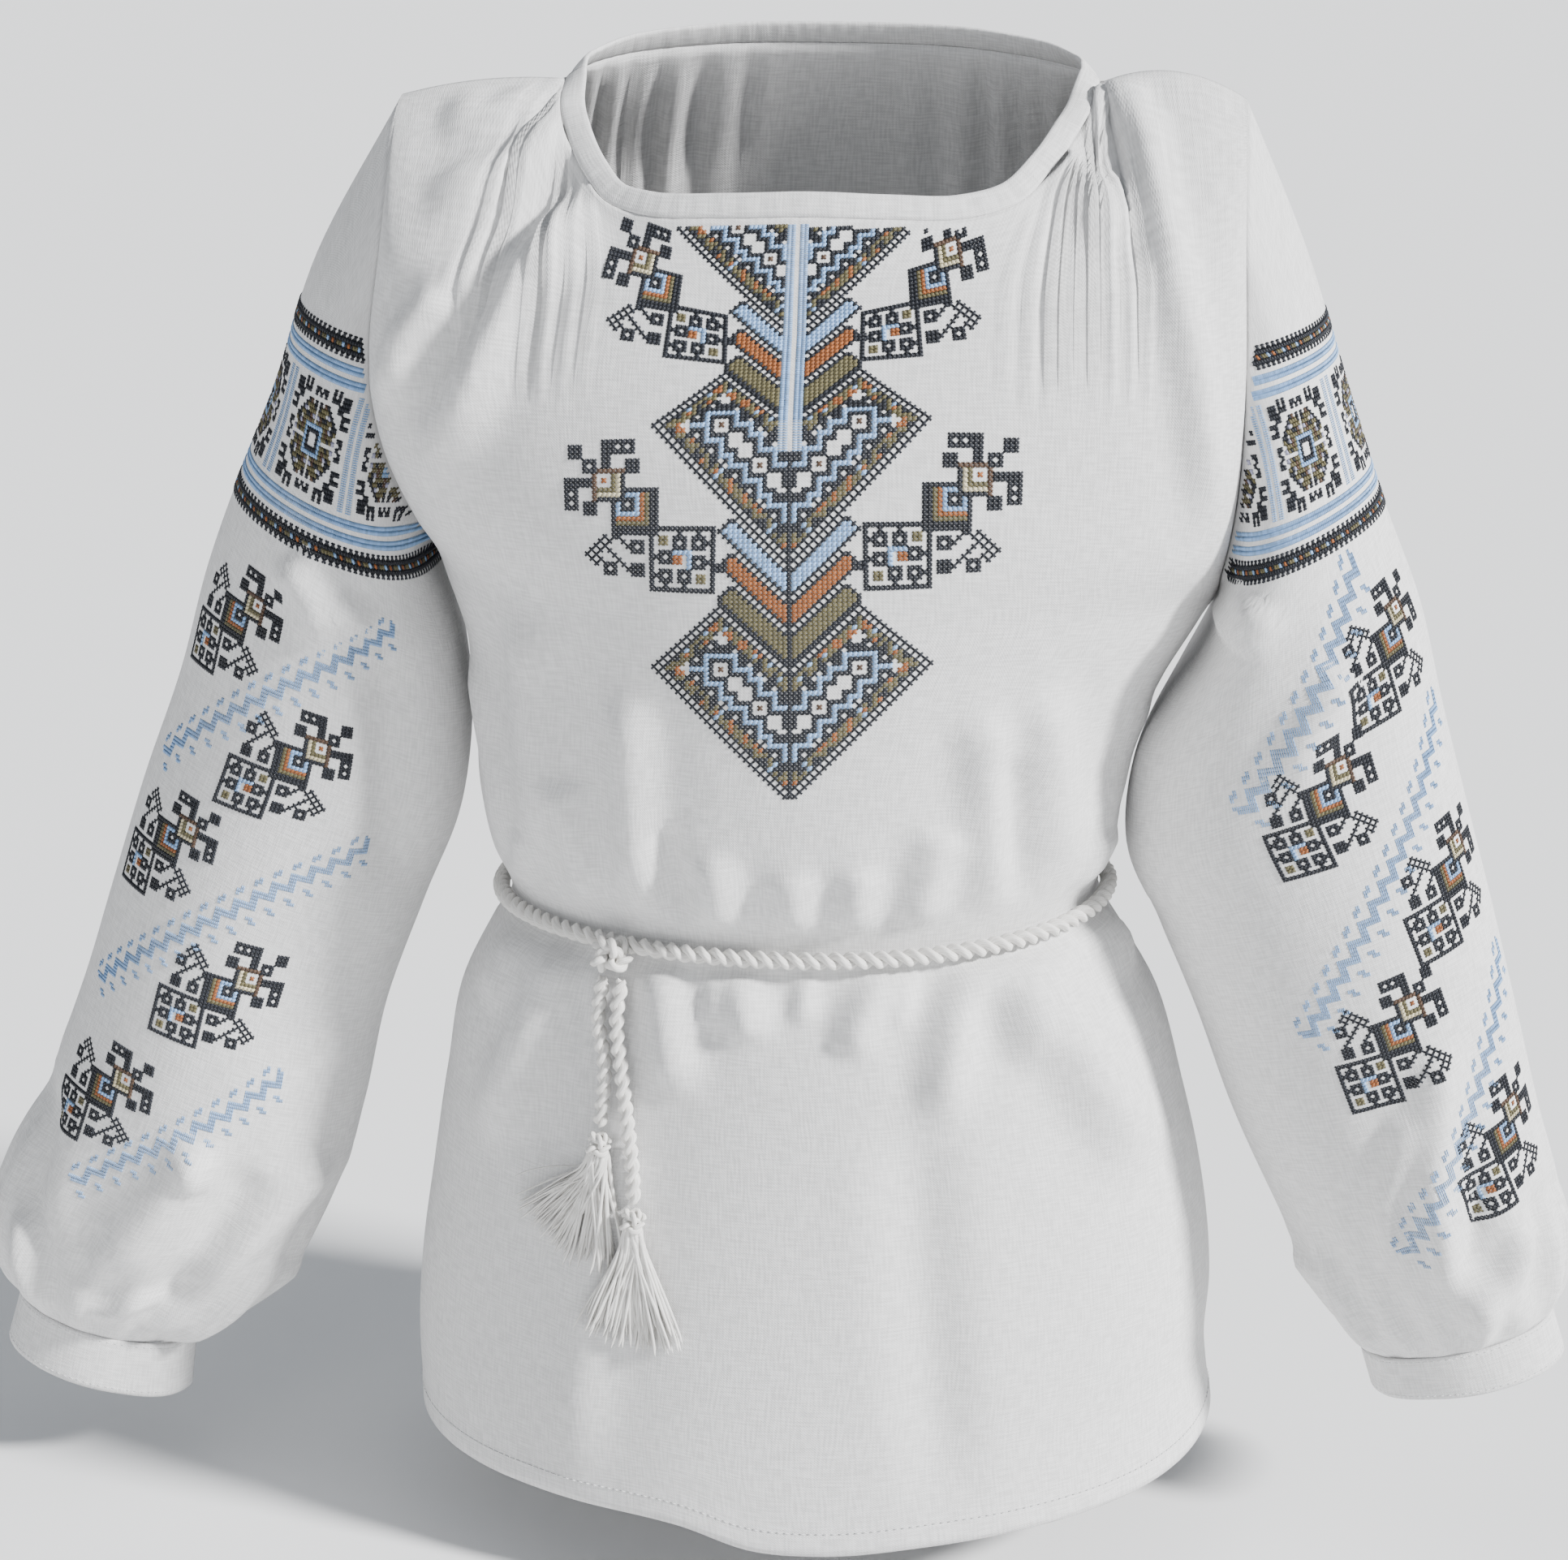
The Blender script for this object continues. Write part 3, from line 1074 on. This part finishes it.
# %% From the chart to the cloth
class Finder:
    """Finds the shares (a, b) of a surface where it shows at (x, z), on the part that faces forward."""

    def __init__(self, surface, key, a_range, b_range, steps_across=220):
        self.surface, self.key = surface, key
        a, b = np.meshgrid(np.linspace(*a_range, steps_across), np.linspace(*b_range, steps_across))
        self.a, self.b = a.ravel(), b.ravel()
        self.tree = KDTree(len(self.a))
        for k, (x, _, z) in enumerate(surface(self.a, self.b, key)):
            self.tree.insert((x, 0, z), k)
        self.tree.balance()

    def find(self, x, z):
        near = np.array([self.tree.find((px, 0, pz))[1] for px, pz in zip(x, z)])
        a, b, h = self.a[near].copy(), self.b[near].copy(), 1e-4
        for _ in range(3):
            here = self.surface(a, b, self.key)
            along_a = (self.surface(a + h, b, self.key) - here) / h
            along_b = (self.surface(a, b + h, self.key) - here) / h
            miss_x, miss_z = x - here[:, 0], z - here[:, 2]
            size = along_a[:, 0] * along_b[:, 2] - along_b[:, 0] * along_a[:, 2]
            size = np.where(abs(size) < 1e-6, 1e-6, size)
            a = a + np.clip((miss_x * along_b[:, 2] - miss_z * along_b[:, 0]) / size, -0.05, 0.05)
            b = b + np.clip((miss_z * along_a[:, 0] - miss_x * along_a[:, 2]) / size, -0.05, 0.05)
        return a, b


def thread_template():
    """One thread as a low ridge on a square foot, 1 long, 1 wide and 1 high."""
    shape = bmesh.new()
    bmesh.ops.create_cone(shape, cap_ends=True, cap_tris=True, segments=4, radius1=0.5, radius2=0, depth=1)
    bmesh.ops.rotate(shape, verts=shape.verts, matrix=Matrix.Rotation(math.pi / 4, 3, "Z"))
    bmesh.ops.remove_doubles(shape, verts=shape.verts, dist=1e-5)
    bmesh.ops.recalc_face_normals(shape, faces=shape.faces)
    bmesh.ops.triangulate(shape, faces=shape.faces)
    shape.verts.index_update()
    points = np.array([vertex.co for vertex in shape.verts])
    faces = np.array([[vertex.index for vertex in face.verts] for face in shape.faces])
    shape.free()
    low, high = points.min(axis=0), points.max(axis=0)
    return (points - low) / (high - low) - np.array([0.5, 0.5, 0.0]), faces


BAR_POINTS, BAR_FACES = thread_template()


def threads_mesh(name, starts, ends, outward, width, height, colours):
    """One thread from each start to its end, lying on the cloth."""
    along = ends - starts
    side = unit(np.cross(outward, along))
    middle = (starts + ends) / 2
    points = (middle[:, None] + BAR_POINTS[None, :, 0:1] * along[:, None]
              + BAR_POINTS[None, :, 1:2] * width * side[:, None] + BAR_POINTS[None, :, 2:3] * height * outward[:, None])
    faces = BAR_FACES[None] + (np.arange(len(starts)) * len(BAR_POINTS))[:, None, None]
    mesh = bpy.data.meshes.new(name)
    mesh.vertices.add(points.size // 3)
    mesh.vertices.foreach_set("co", points.ravel())
    mesh.loops.add(faces.size)
    mesh.loops.foreach_set("vertex_index", faces.ravel())
    mesh.polygons.add(faces.size // 3)
    mesh.polygons.foreach_set("loop_start", np.arange(0, faces.size, 3))
    mesh.update(calc_edges=True)
    layer = mesh.color_attributes.new("thread", "FLOAT_COLOR", "POINT")
    shades = np.repeat(np.concatenate([colours, np.ones((len(colours), 1))], axis=1), len(BAR_POINTS), axis=0)
    layer.data.foreach_set("color", shades.ravel())
    return mesh


THREAD_WIDE, THREAD_HIGH, THREAD_SINK, OVER = 0.95 * MM, 0.42 * MM, -0.08 * MM, 0.12 * MM
RUNG_WIDE = 0.62 * MM


class Stitches:
    """Collects the threads of one embroidered piece."""

    def __init__(self, seed):
        self.threads = {THREAD_WIDE: [], RUNG_WIDE: []}
        self.random = np.random.default_rng(seed)

    def lay(self, chart, corners, keep=None):
        """Lays a chart, given the points of its squares' corners: corners(rows, columns) for lists of both."""
        cells = list(chart)
        colours = np.array([THREADS[chart[cell][0]] for cell in cells])
        kinds = np.array([chart[cell][1] for cell in cells])
        around = [[(row + down, column + across) for row, column in cells]
                  for down, across in ((0, 0), (0, 1), (1, 1), (1, 0))]
        lattice = sorted(set().union(*around))
        number = {corner: k for k, corner in enumerate(lattice)}
        rows, columns = np.array(lattice, float).T
        points, normal = corners(rows, columns)
        quad = np.array([[number[corner] for corner in corners_here] for corners_here in around])
        good = np.isfinite(points[quad]).all(axis=(0, 2))
        quad = quad[:, good]
        top_left, top_right, low_right, low_left = points[quad]
        colours, kinds = colours[good], kinds[good]
        outward = unit(np.cross(low_left - top_right, low_right - top_left))
        outward *= np.sign((outward * normal[quad[0]]).sum(axis=1, keepdims=True))
        colours = np.clip(colours * self.random.uniform(0.85, 1.18, (len(colours), 1)), 0, 1)
        for kind, lines in ((CROSS, (((0, 0), (1, 1), 0), ((1, 0), (0, 1), OVER))),
                            (UPRIGHT, (((0.25, 0), (0.25, 1), 0), ((0.75, 0), (0.75, 1), 0))),
                            (LEVEL, (((0, 0.25), (1, 0.25), 0), ((0, 0.75), (1, 0.75), 0)))):
            mine = kinds == kind
            for start, end, lift in lines:
                ends = []
                for across, down in (start, end):
                    top = top_left[mine] * (1 - across) + top_right[mine] * across
                    low = low_left[mine] * (1 - across) + low_right[mine] * across
                    ends.append(top * (1 - down) + low * down + (lift - THREAD_SINK) * outward[mine])
                width = THREAD_WIDE if kind == CROSS else RUNG_WIDE
                self.threads[width].append((*ends, outward[mine], colours[mine]))

    def piece(self, name, material):
        meshes = []
        for width, parts in self.threads.items():
            if parts:
                starts, ends, outward, colours = (np.concatenate(part) for part in zip(*parts))
                meshes.append(threads_mesh(name, starts, ends, outward, width, THREAD_HIGH, colours))
        shape = bmesh.new()
        for mesh in meshes:
            shape.from_mesh(mesh)
        joined = bpy.data.meshes.new(name)
        shape.to_mesh(joined)
        shape.free()
        item = add_piece(name, joined, material)
        print(name, len(joined.polygons), "triangles")
        return item


# %% [markdown]
# Embroidery floss is slightly glossy cotton. Its colour comes with each thread, and fine grain makes it look spun.

# %% Embroidery floss
def floss_material():
    material = plain_material("embroidery_floss", (0.5, 0.5, 0.5), 0.62)
    tree = material.node_tree
    shader = tree.nodes["Principled BSDF"]
    colour = tree.nodes.new("ShaderNodeAttribute")
    colour.attribute_name = "thread"
    tree.links.new(colour.outputs["Color"], shader.inputs["Base Color"])
    noise = tree.nodes.new("ShaderNodeTexNoise")
    noise.inputs["Scale"].default_value = 2500.0
    place = tree.nodes.new("ShaderNodeTexCoord")
    tree.links.new(place.outputs["Object"], noise.inputs["Vector"])
    bump = tree.nodes.new("ShaderNodeBump")
    bump.inputs["Distance"].default_value = 0.05 * MM
    bump.inputs["Strength"].default_value = 0.5
    tree.links.new(noise.outputs[0], bump.inputs["Height"])
    tree.links.new(bump.outputs[0], shader.inputs["Normal"])
    return material


floss = floss_material()

# %% [markdown]
# On the chest the chart's centre line runs down the middle of the front. The rows' heights and the stitch widths
# were measured on the picture at seven rows. The side motifs hang on each heart's side, skewed a little with the cloth.

# %% Chest embroidery
ROW_PLACES = np.array([(-2, -0.3, -49.1, 1.72), (0, -0.6, -51.6, 1.72), (28, -0.7, -93.6, 1.85), (51, -1.5, -125.9, 1.96),
                       (79, -1.5, -182.4, 2.0), (102, -1.3, -226.3, 2.03), (130, -1.8, -284.5, 2.03)]).T
ROW_TILT = 0.045
NECK_CLEAR_V = 0.993
MOTIF_CORNERS = (
    (((-50.9, -82.6), (-27.5, -86.3), (-53.5, -102.8), (-27.5, -104.9)), 1),
    (((-58.5, -169.7), (-31.0, -168.5), (-58.8, -197.1), (-31.7, -196.5)), 1),
    (((47.9, -79.6), (25.5, -84.3), (50.5, -100.8), (25.5, -102.9)), 1),
    (((55.5, -165.2), (28.0, -165.5), (55.8, -192.6), (28.7, -193.5)), 1),
)
MOTIF_SIZE = 14


def on_front(finder, x, z):
    """Points of the folded front at (x, z) in millimetres, or nan where it doesn't show."""
    u, v = finder.find(x * MM, z * MM)
    points, normal = body_cloth(np.clip(u, -1, 1), np.clip(v, 0, 1), FRONT)
    points[(v > NECK_CLEAR_V) | (abs(u) > 0.97)] = np.nan
    return points, normal


def chest_corners(finder):
    stations, middle_x, height, pitch = ROW_PLACES

    def corners(rows, columns):
        across = (columns - 0.5) * np.interp(rows, stations, pitch)
        return on_front(finder, np.interp(rows, stations, middle_x) + across,
                        np.interp(rows, stations, height) + ROW_TILT * across)
    return corners


def motif_corners(finder, places):
    (top_left, top_right, low_left, low_right) = np.array(places)

    def corners(rows, columns):
        r, c = (rows / MOTIF_SIZE)[:, None], (columns / MOTIF_SIZE)[:, None]
        flat = top_left * (1 - r) * (1 - c) + top_right * (1 - r) * c + low_left * r * (1 - c) + low_right * r * c
        return on_front(finder, flat[:, 0], flat[:, 1])
    return corners


front_finder = Finder(body, FRONT, (-0.7, 0.7), (0.45, 1.0))
chest = Stitches(1)
chest.lay(chest_chart(), chest_corners(front_finder))
for places, wings in MOTIF_CORNERS:
    chest.lay(motif_chart(wings), motif_corners(front_finder, places))
embroidery = [chest.piece("embroidery_chest", floss)]

# %% [markdown]
# The sleeve bands were stitched while the sleeve lay flat, so each row of stitches is a straight line round the
# arm, and the pattern closes all round. Where the band meets the armhole it is cut off by the seam. The motifs
# are laid out from their middles along the cloth, and the hidden back of each sleeve gets similar ones.

# %% Sleeve embroidery
BAND_TOP = {RIGHT: ((-213.8, -96.4), (-183.7, -105.8)), LEFT: ((213.4, -94.4), (180.0, -102.9))}
BAND_FOOT = {RIGHT: ((-249.4, -182.0), (-164.7, -216.3)), LEFT: ((244.1, -177.3), (176.4, -205.4))}
ROSETTE_AT = {RIGHT: (-209.1, -146.6), LEFT: (205.3, -142.9)}
SLEEVE_PITCH, ARMHOLE_CLEAR_S, CUFF_CLEAR_S = 1.74 * MM, 0.012, 0.985
SLEEVE_TURN = {RIGHT: math.radians(-17), LEFT: math.radians(21)}
MOTIFS = {RIGHT: ((-252.5, -230.4), (-227.7, -292.9), (-289.8, -334.5), (-266.1, -402.4), (-326.9, -455.4)),
          LEFT: ((245.4, -232.3), (219.4, -298.3), (277.6, -336.5), (255.6, -403.5), (308.2, -456.1))}
STAIRS = {RIGHT: ((-235.4, -256.7, 15), (-270.8, -364.1, 17), (-287.0, -467.2, 12)),
          LEFT: ((210.6, -244.4, 12), (245.7, -331.1, 17), (287.2, -440.3, 15))}
MOTIF_MIDDLE = -2.0


def band_corners(side, columns_round, centre_phi, middle_column):
    """Corner points of the band: a row is a plane across the sleeve, a column keeps its angle phi."""
    s = np.linspace(0, 0.45, 90)
    fine = np.linspace(0, 2 * math.pi, 721)
    lengths = arc_lengths(sleeve(fine, np.full(721, 0.18), side))
    start = np.interp(centre_phi, fine, lengths)
    places = start + (np.arange(columns_round) - middle_column) / columns_round * lengths[-1] * side
    angles = np.interp(np.mod(places, lengths[-1]), lengths, fine)
    lines = sleeve(np.repeat(angles, len(s)), np.tile(s, columns_round), side).reshape(columns_round, len(s), 3)

    def corners(rows, columns):
        at = columns.astype(int) % columns_round
        share = (rows / BAND_ROWS)[:, None]
        outer = MM * ((1 - share) * BAND_TOP[side][0] + share * BAND_FOOT[side][0])
        inner = MM * ((1 - share) * BAND_TOP[side][1] + share * BAND_FOOT[side][1])
        run = inner - outer
        line = lines[at]
        across = ((line[:, :, 0] - outer[:, 0:1]) * run[:, 1:2] - (line[:, :, 2] - outer[:, 1:2]) * run[:, 0:1])
        across *= np.sign(across[:, -1:] - across[:, :1])
        found = np.array([np.interp(0, row, s) if row[0] < 0 < row[-1] else np.nan for row in across])
        phi = angles[at]
        points, normal = sleeve_cloth(phi, np.nan_to_num(found), side)
        points[~(found > ARMHOLE_CLEAR_S)] = np.nan
        return points, normal
    return corners


def patch_corners(finder, side, x, z, back=False):
    """Corner points of a chart whose middle lies at (x, z), laid out along the cloth from there."""
    phi, s = (value[0] for value in finder.find(np.array([x]) * MM, np.array([z]) * MM))
    phi, step = (2 * math.pi - phi if back else phi), 1e-3
    here = sleeve(phi, s, side)[0]
    along_phi = (sleeve(phi + step, s, side)[0] - here) / step
    along_s = (sleeve(phi, s + step, side)[0] - here) / step
    turn = SLEEVE_TURN[side] * (-1 if back else 1)
    across = np.array([math.cos(turn), 0, math.sin(turn)]) * (-1 if back else 1)
    normal = unit(np.cross(along_phi, along_s))
    across = unit(across - normal * (across @ normal))
    down = np.cross(normal, across)
    down = down if down[2] < 0 else -down
    frame_of = np.linalg.pinv(np.stack([along_phi, along_s], axis=1))

    def corners(rows, columns):
        moved = ((columns - 0.5)[:, None] * across + (rows - 0.5)[:, None] * down) * SLEEVE_PITCH
        move_phi, move_s = frame_of @ moved.T
        at_s = s + move_s
        points, normal = sleeve_cloth(phi + move_phi, np.clip(at_s, 0, 1), side)
        points[(at_s < ARMHOLE_CLEAR_S) | (at_s > CUFF_CLEAR_S)] = np.nan
        return points, normal
    return corners


def turned(chart):
    """The motif with its flower at the upper right, its middle at the origin."""
    return Chart({(row - int(MOTIF_MIDDLE), int(-column + MOTIF_MIDDLE)): stitch
                  for (row, column), stitch in chart.items()})


for side, word in SIDE_WORD.items():
    finder = Finder(sleeve, side, (0.05, math.pi - 0.05), (0.0, 1.0))
    centre_phi, _ = finder.find(*(np.array([value]) * MM for value in ROSETTE_AT[side]))
    ring = arc_lengths(sleeve(np.linspace(0, 2 * math.pi, 200), np.full(200, 0.18), side))[-1]
    periods = round(ring / SLEEVE_PITCH / PERIOD)
    work = Stitches(2 + side)
    work.lay(band_chart(periods), band_corners(side, PERIOD * periods, centre_phi[0], PANEL_ROWS / 2))
    for x, z in MOTIFS[side]:
        for back in (False, True):
            work.lay(turned(motif_chart(2)), patch_corners(finder, side, x, z, back))
    for x, z, count in STAIRS[side]:
        for back in (False, True):
            work.lay(stairs_chart(count), patch_corners(finder, side, x, z, back))
    print(word, "band:", periods, "rosettes round", round(ring * 1000), "mm")
    embroidery.append(work.piece(f"embroidery_sleeve_{word}", floss))

# %% [markdown]
# Sewing that shows: a row of small stitches holds the turned hem, and one runs along each cuff's edges.

# %% Visible sewing
SEWING_STITCH, SEWING_GAP, SEWING_WIDE, SEWING_HIGH = 2.6 * MM, 0.9 * MM, 0.45 * MM, 0.30 * MM
SEWING_COLOUR = (0.62, 0.62, 0.62)


def sewn_line(points, normals):
    """Starts, ends and normals of the stitches along a line on the cloth."""
    lengths = arc_lengths(points)
    places = np.arange(0, lengths[-1] - SEWING_STITCH, SEWING_STITCH + SEWING_GAP)

    def read(values, at):
        return np.stack([np.interp(at, lengths, column) for column in values.T], axis=1)
    outward = unit(read(normals, places))
    return (read(points, places) - 0.05 * MM * outward, read(points, places + SEWING_STITCH) - 0.05 * MM * outward,
            outward)


def sewing_piece(name, lines):
    starts, ends, outward = (np.concatenate(part) for part in zip(*(sewn_line(*line) for line in lines)))
    colours = np.tile(SEWING_COLOUR, (len(starts), 1))
    return add_piece(name, threads_mesh(name, starts, ends, outward, SEWING_WIDE, SEWING_HIGH, colours), floss)


fine_u, hem_line = np.linspace(-1, 1, 900), np.full(900, HEM_V - 0.0008)
sewing = [sewing_piece("sewing_hem", [body_cloth(fine_u, hem_line, face) for face in (FRONT, BACK)])]
fine = np.linspace(0.01, 0.99, 500)
for side, word in SIDE_WORD.items():
    rows = [cuff_cloth(fine, np.full(500, share), side, 0.5 * MM) for share in (0.08, 0.92)]
    sewing.append(sewing_piece(f"sewing_cuff_{word}", rows))
print("sewn lines:", len(sewing))

# %% [markdown]
# The belt is a soft cotton rope laid from two thick strands. It is tied in one tight overhand knot on the wearer's
# right, and both ends hang down the front. A strand is a round tube that winds round the rope's middle line.

# %% Rope strands
STRANDS, LAY, RING_POINTS, RIDGES = 2, 13 * MM, 14, 5
OFFSET_SHARE, STRAND_SHARE = 0.46, 0.54
ROPE_STEP = 1.3 * MM


def cotton_material():
    """Loose cotton yarn: fine streaks along the strand and soft grey between them."""
    tree = bpy.data.node_groups.new("cotton_yarn", "ShaderNodeTree")
    tree.interface.new_socket("Streaks", in_out="OUTPUT", socket_type="NodeSocketFloat")
    uv = tree.nodes.new("ShaderNodeUVMap")
    uv.uv_map = CLOTH_UV
    out = tree.nodes.new("NodeGroupOutput")
    tree.links.new(stretched_noise(tree, uv.outputs[0], 0.5 * MM, 9 * MM, 3.0), out.inputs["Streaks"])
    material = plain_material("cotton_rope", (0.80, 0.79, 0.76), 0.88)
    shaded_by(material, tree, (0.86, 0.85, 0.82), (0.62, 0.60, 0.57), "Streaks", 0.35 * MM, 0.8)
    return material


cotton = cotton_material()


def along_route(route, step):
    """Evenly spaced points along a route, with two directions across it that don't twist."""
    route = np.array(route, float)
    lengths = arc_lengths(route)
    count = max(int(round(lengths[-1] / step)), 3)
    points = curve_through(lengths, route, np.linspace(0, lengths[-1], count + 1))
    along = unit(np.gradient(points, axis=0))
    across = np.zeros_like(along)
    across[0] = unit(np.cross(along[0], (0.3, 1, 0.2)))
    for k in range(1, len(along)):
        across[k] = unit(across[k - 1] - (across[k - 1] @ along[k]) * along[k])
    return points, along, across, np.cross(along, across)


def strand_place(route, radius, turn_from):
    points, along, across, up = along_route(route, ROPE_STEP)
    lengths = arc_lengths(points)

    def place(a, b):
        at = b * lengths[-1]
        middle, first, second = (np.stack([np.interp(at, lengths, column) for column in values.T], axis=1)
                                 for values in (points, across, up))
        wind = turn_from + 2 * math.pi * at / LAY
        arm = np.cos(wind)[:, None] * first + np.sin(wind)[:, None] * second
        angle = 2 * math.pi * a
        end = np.minimum(1, np.sqrt(np.clip(np.minimum(at, lengths[-1] - at) / (0.6 * radius), 0, 1)) + 1e-3)
        size = radius * STRAND_SHARE * end * (1 + 0.04 * np.cos(RIDGES * (angle - 0.5 * wind)))
        around = np.cos(angle)[:, None] * first + np.sin(angle)[:, None] * second
        return middle + radius * OFFSET_SHARE * arm + size[:, None] * around
    return place, len(points)


def joined_mesh(name, meshes):
    shape = bmesh.new()
    for mesh in meshes:
        shape.from_mesh(mesh)
    joined = bpy.data.meshes.new(name)
    shape.to_mesh(joined)
    shape.free()
    joined.shade_smooth()
    return joined


def rope_mesh(name, route, radius, ring=RING_POINTS):
    strands = []
    for k in range(STRANDS):
        place, count = strand_place(route, radius, 2 * math.pi * k / STRANDS)
        strands.append(laid_grid(name, ring, count, place, closed=True))
    return joined_mesh(name, strands)


# %% [markdown]
# The rope lies on the cloth, so its route is read from the folded front, just as a hanging end would find its way.

# %% Belt, knot and hanging ends
KNOT_ROPE, KNOT_STEPS = 3.3 * MM, 90
END_KNOT_ROPE, END_KNOT_SIZE = 2.2 * MM, 4.2 * MM


class FrontDepth:
    """The frontmost cloth near a place (x, z), read from a fine grid of the folded front."""

    def __init__(self):
        u, v = np.meshgrid(np.linspace(-0.8, 0.8, 240), np.linspace(0.0, 0.55, 240))
        self.points, _ = body_cloth(u.ravel(), v.ravel(), FRONT)

    def y(self, x, z, reach):
        away = np.hypot(self.points[:, 0] - x, self.points[:, 2] - z)
        return self.points[away < max(reach, away.min() + 1e-6), 1].min()


def belt_route(knot):
    """Round the waist, from one side of the knot to the other."""
    u = np.linspace(-1, 1, 241)
    v = np.full_like(u, WAIST_V)
    lines = [body(u, v, face) + (ROPE_R + BELT_CLEAR) * body_normals(u, v, face) for face in (FRONT, BACK)]
    ring = np.concatenate([lines[0], lines[1][::-1][1:-1]])
    ring = np.roll(ring, -int(np.hypot(ring[:, 0] - knot[0], ring[:, 1] - knot[1]).argmin()), axis=0)
    return ring[np.linalg.norm(ring - knot, axis=1) > KNOT_SIZE[0] * 0.6]


def knot_route(size):
    """An overhand knot drawn tight: a trefoil that fills the given half sizes."""
    t = np.linspace(0, 2 * math.pi, KNOT_STEPS)
    return np.stack([(2 + np.cos(3 * t)) * np.cos(2 * t) / 3 * size[0], np.sin(3 * t) * size[1],
                     (2 + np.cos(3 * t)) * np.sin(2 * t) / 3 * size[2]], axis=1)


depth = FrontDepth()
knot_x, knot_z = (value * MM for value in KNOT_AT)
knot_at = np.array([knot_x, depth.y(knot_x, knot_z, 8 * MM) - KNOT_SIZE[1] * 1.05 - CLEAR, knot_z])
route = belt_route(knot_at)
belt = add_piece("rope_belt", rope_mesh("rope_belt", route, ROPE_R), cotton, 0.0, "belt")
turns = knot_route([size - KNOT_ROPE for size in KNOT_SIZE]) + knot_at
knot = add_piece("rope_knot", rope_mesh("rope_knot", turns, KNOT_ROPE, 12), cotton, 0.0, "belt_knot")
ends = {}
for name, places in ENDS.items():
    rough = [(x * MM, depth.y(x * MM, z * MM, 6 * MM) - END_R - CLEAR, z * MM) for x, z in places]
    middle, _, _, _ = along_route(rough, ROPE_STEP)
    length = arc_lengths(middle)[-1]
    end = add_piece(f"rope_end_{name}_twist", rope_mesh(f"rope_end_{name}", middle, END_R), cotton, 0.0,
                    f"rope_end_{name}")
    ends[name] = (end, middle, length)
    print(name, "end", round(length * 1000), "mm; belt", round(arc_lengths(route)[-1] * 1000), "mm")

# %% [markdown]
# Each end is finished with a small knot, and below it the yarn is combed out into a tassel. The strands leave the
# knot close together, fan out, and lie on the skirt one over the other, with uneven ends. A few stray ones lift off.

# %% Tassels
TASSEL_STRANDS = {"short": 122, "long": 122}
STRAND_R, STRAND_STEPS, STRAND_RING = 0.95 * MM, 12, 5
FAN = {"short": (-0.42, 0.52), "long": (-0.04, 0.40)}
STRAY_SHARE = 0.05


def tassel_strand(root, randomly, head, length, fan):
    lean, spread = fan
    if randomly.random() < STRAY_SHARE:
        spread = 1.5 * spread
    angle = randomly.uniform(lean - spread, lean + spread)
    bend, layer = randomly.gauss(0, 0.10), randomly.uniform(0.6, 7.0) * MM
    points = []
    for k in range(STRAND_STEPS + 1):
        share = k / STRAND_STEPS
        turn = angle * min(1, share * 3) + bend * math.sin(3 * share)
        points.append(points[-1] + length / STRAND_STEPS * np.array([math.sin(turn), 0, -math.cos(turn)])
                      if points else head + root)
    points = np.array(points)
    for k, point in enumerate(points):
        share = k / STRAND_STEPS
        lying = depth.y(point[0], point[2], 3 * MM) - layer * (1 - 0.5 * share) - STRAND_R
        point[1] = (head[1] + root[1]) * (1 - ease(share * 3)) + lying * ease(share * 3)
    return points


def strand_mesh(name, points):
    _, along, across, up = along_route(points, 1.0)
    lengths = arc_lengths(points)

    def place(a, b):
        at = b * lengths[-1]
        middle = np.stack([np.interp(at, lengths, column) for column in points.T], axis=1)
        angle = 2 * math.pi * a
        size = STRAND_R * np.where((b > 0.001) & (b < 0.999), 1 - 0.3 * b, 0.05)
        across_x = np.stack([np.cos(angle), np.sin(angle), np.zeros_like(angle)], axis=1)
        return middle + size[:, None] * across_x
    return laid_grid(name, STRAND_RING, STRAND_STEPS + 2, place, closed=True)


for name, (end, middle, length) in ends.items():
    randomly = random.Random(f"{name} tassel")
    head = middle[-1] + np.array([0, 0, -TASSEL_HEAD])
    head[1] = min(head[1], depth.y(head[0], head[2], 8 * MM) - TASSEL_HEAD - CLEAR)
    meshes = [rope_mesh("end_knot", knot_route([END_KNOT_SIZE] * 3) + head, END_KNOT_ROPE, 10)]
    for _ in range(TASSEL_STRANDS[name]):
        turn, reach = randomly.uniform(0, 2 * math.pi), 4.2 * MM * math.sqrt(randomly.random())
        root = np.array([reach * math.cos(turn), reach * math.sin(turn), -0.3 * TASSEL_HEAD])
        strand = tassel_strand(root, randomly, head, TASSEL_LENGTH * randomly.uniform(0.82, 1.04), FAN[name])
        meshes.append(strand_mesh("tassel_strand", strand))
    tassel = add_piece(f"tassel_{name}_strands", joined_mesh(f"tassel_{name}", meshes), cotton, 0.0,
                       f"tassel_{name}")
    print(name, "tassel:", TASSEL_STRANDS[name], "strands,", len(tassel.data.polygons), "faces")

# %% [markdown]
# Last, each cloth piece states its flat cut, so that the shape it is held in can be checked against it.

# %% Flat cuts
FLAT_CUTS = {
    "front": (0.43, 0.63), "back": (0.42, 0.66), "sleeve_right": (0.30, 0.60), "sleeve_left": (0.29, 0.58),
    "cuff_right": (0.22, 0.03), "cuff_left": (0.22, 0.03), "neck_band": (0.55, 0.013),
}
for name, flat in FLAT_CUTS.items():
    piece = pieces[name]
    print(name, "flat", flat, "area share", round(area_of(piece.data) / (flat[0] * flat[1]), 2))
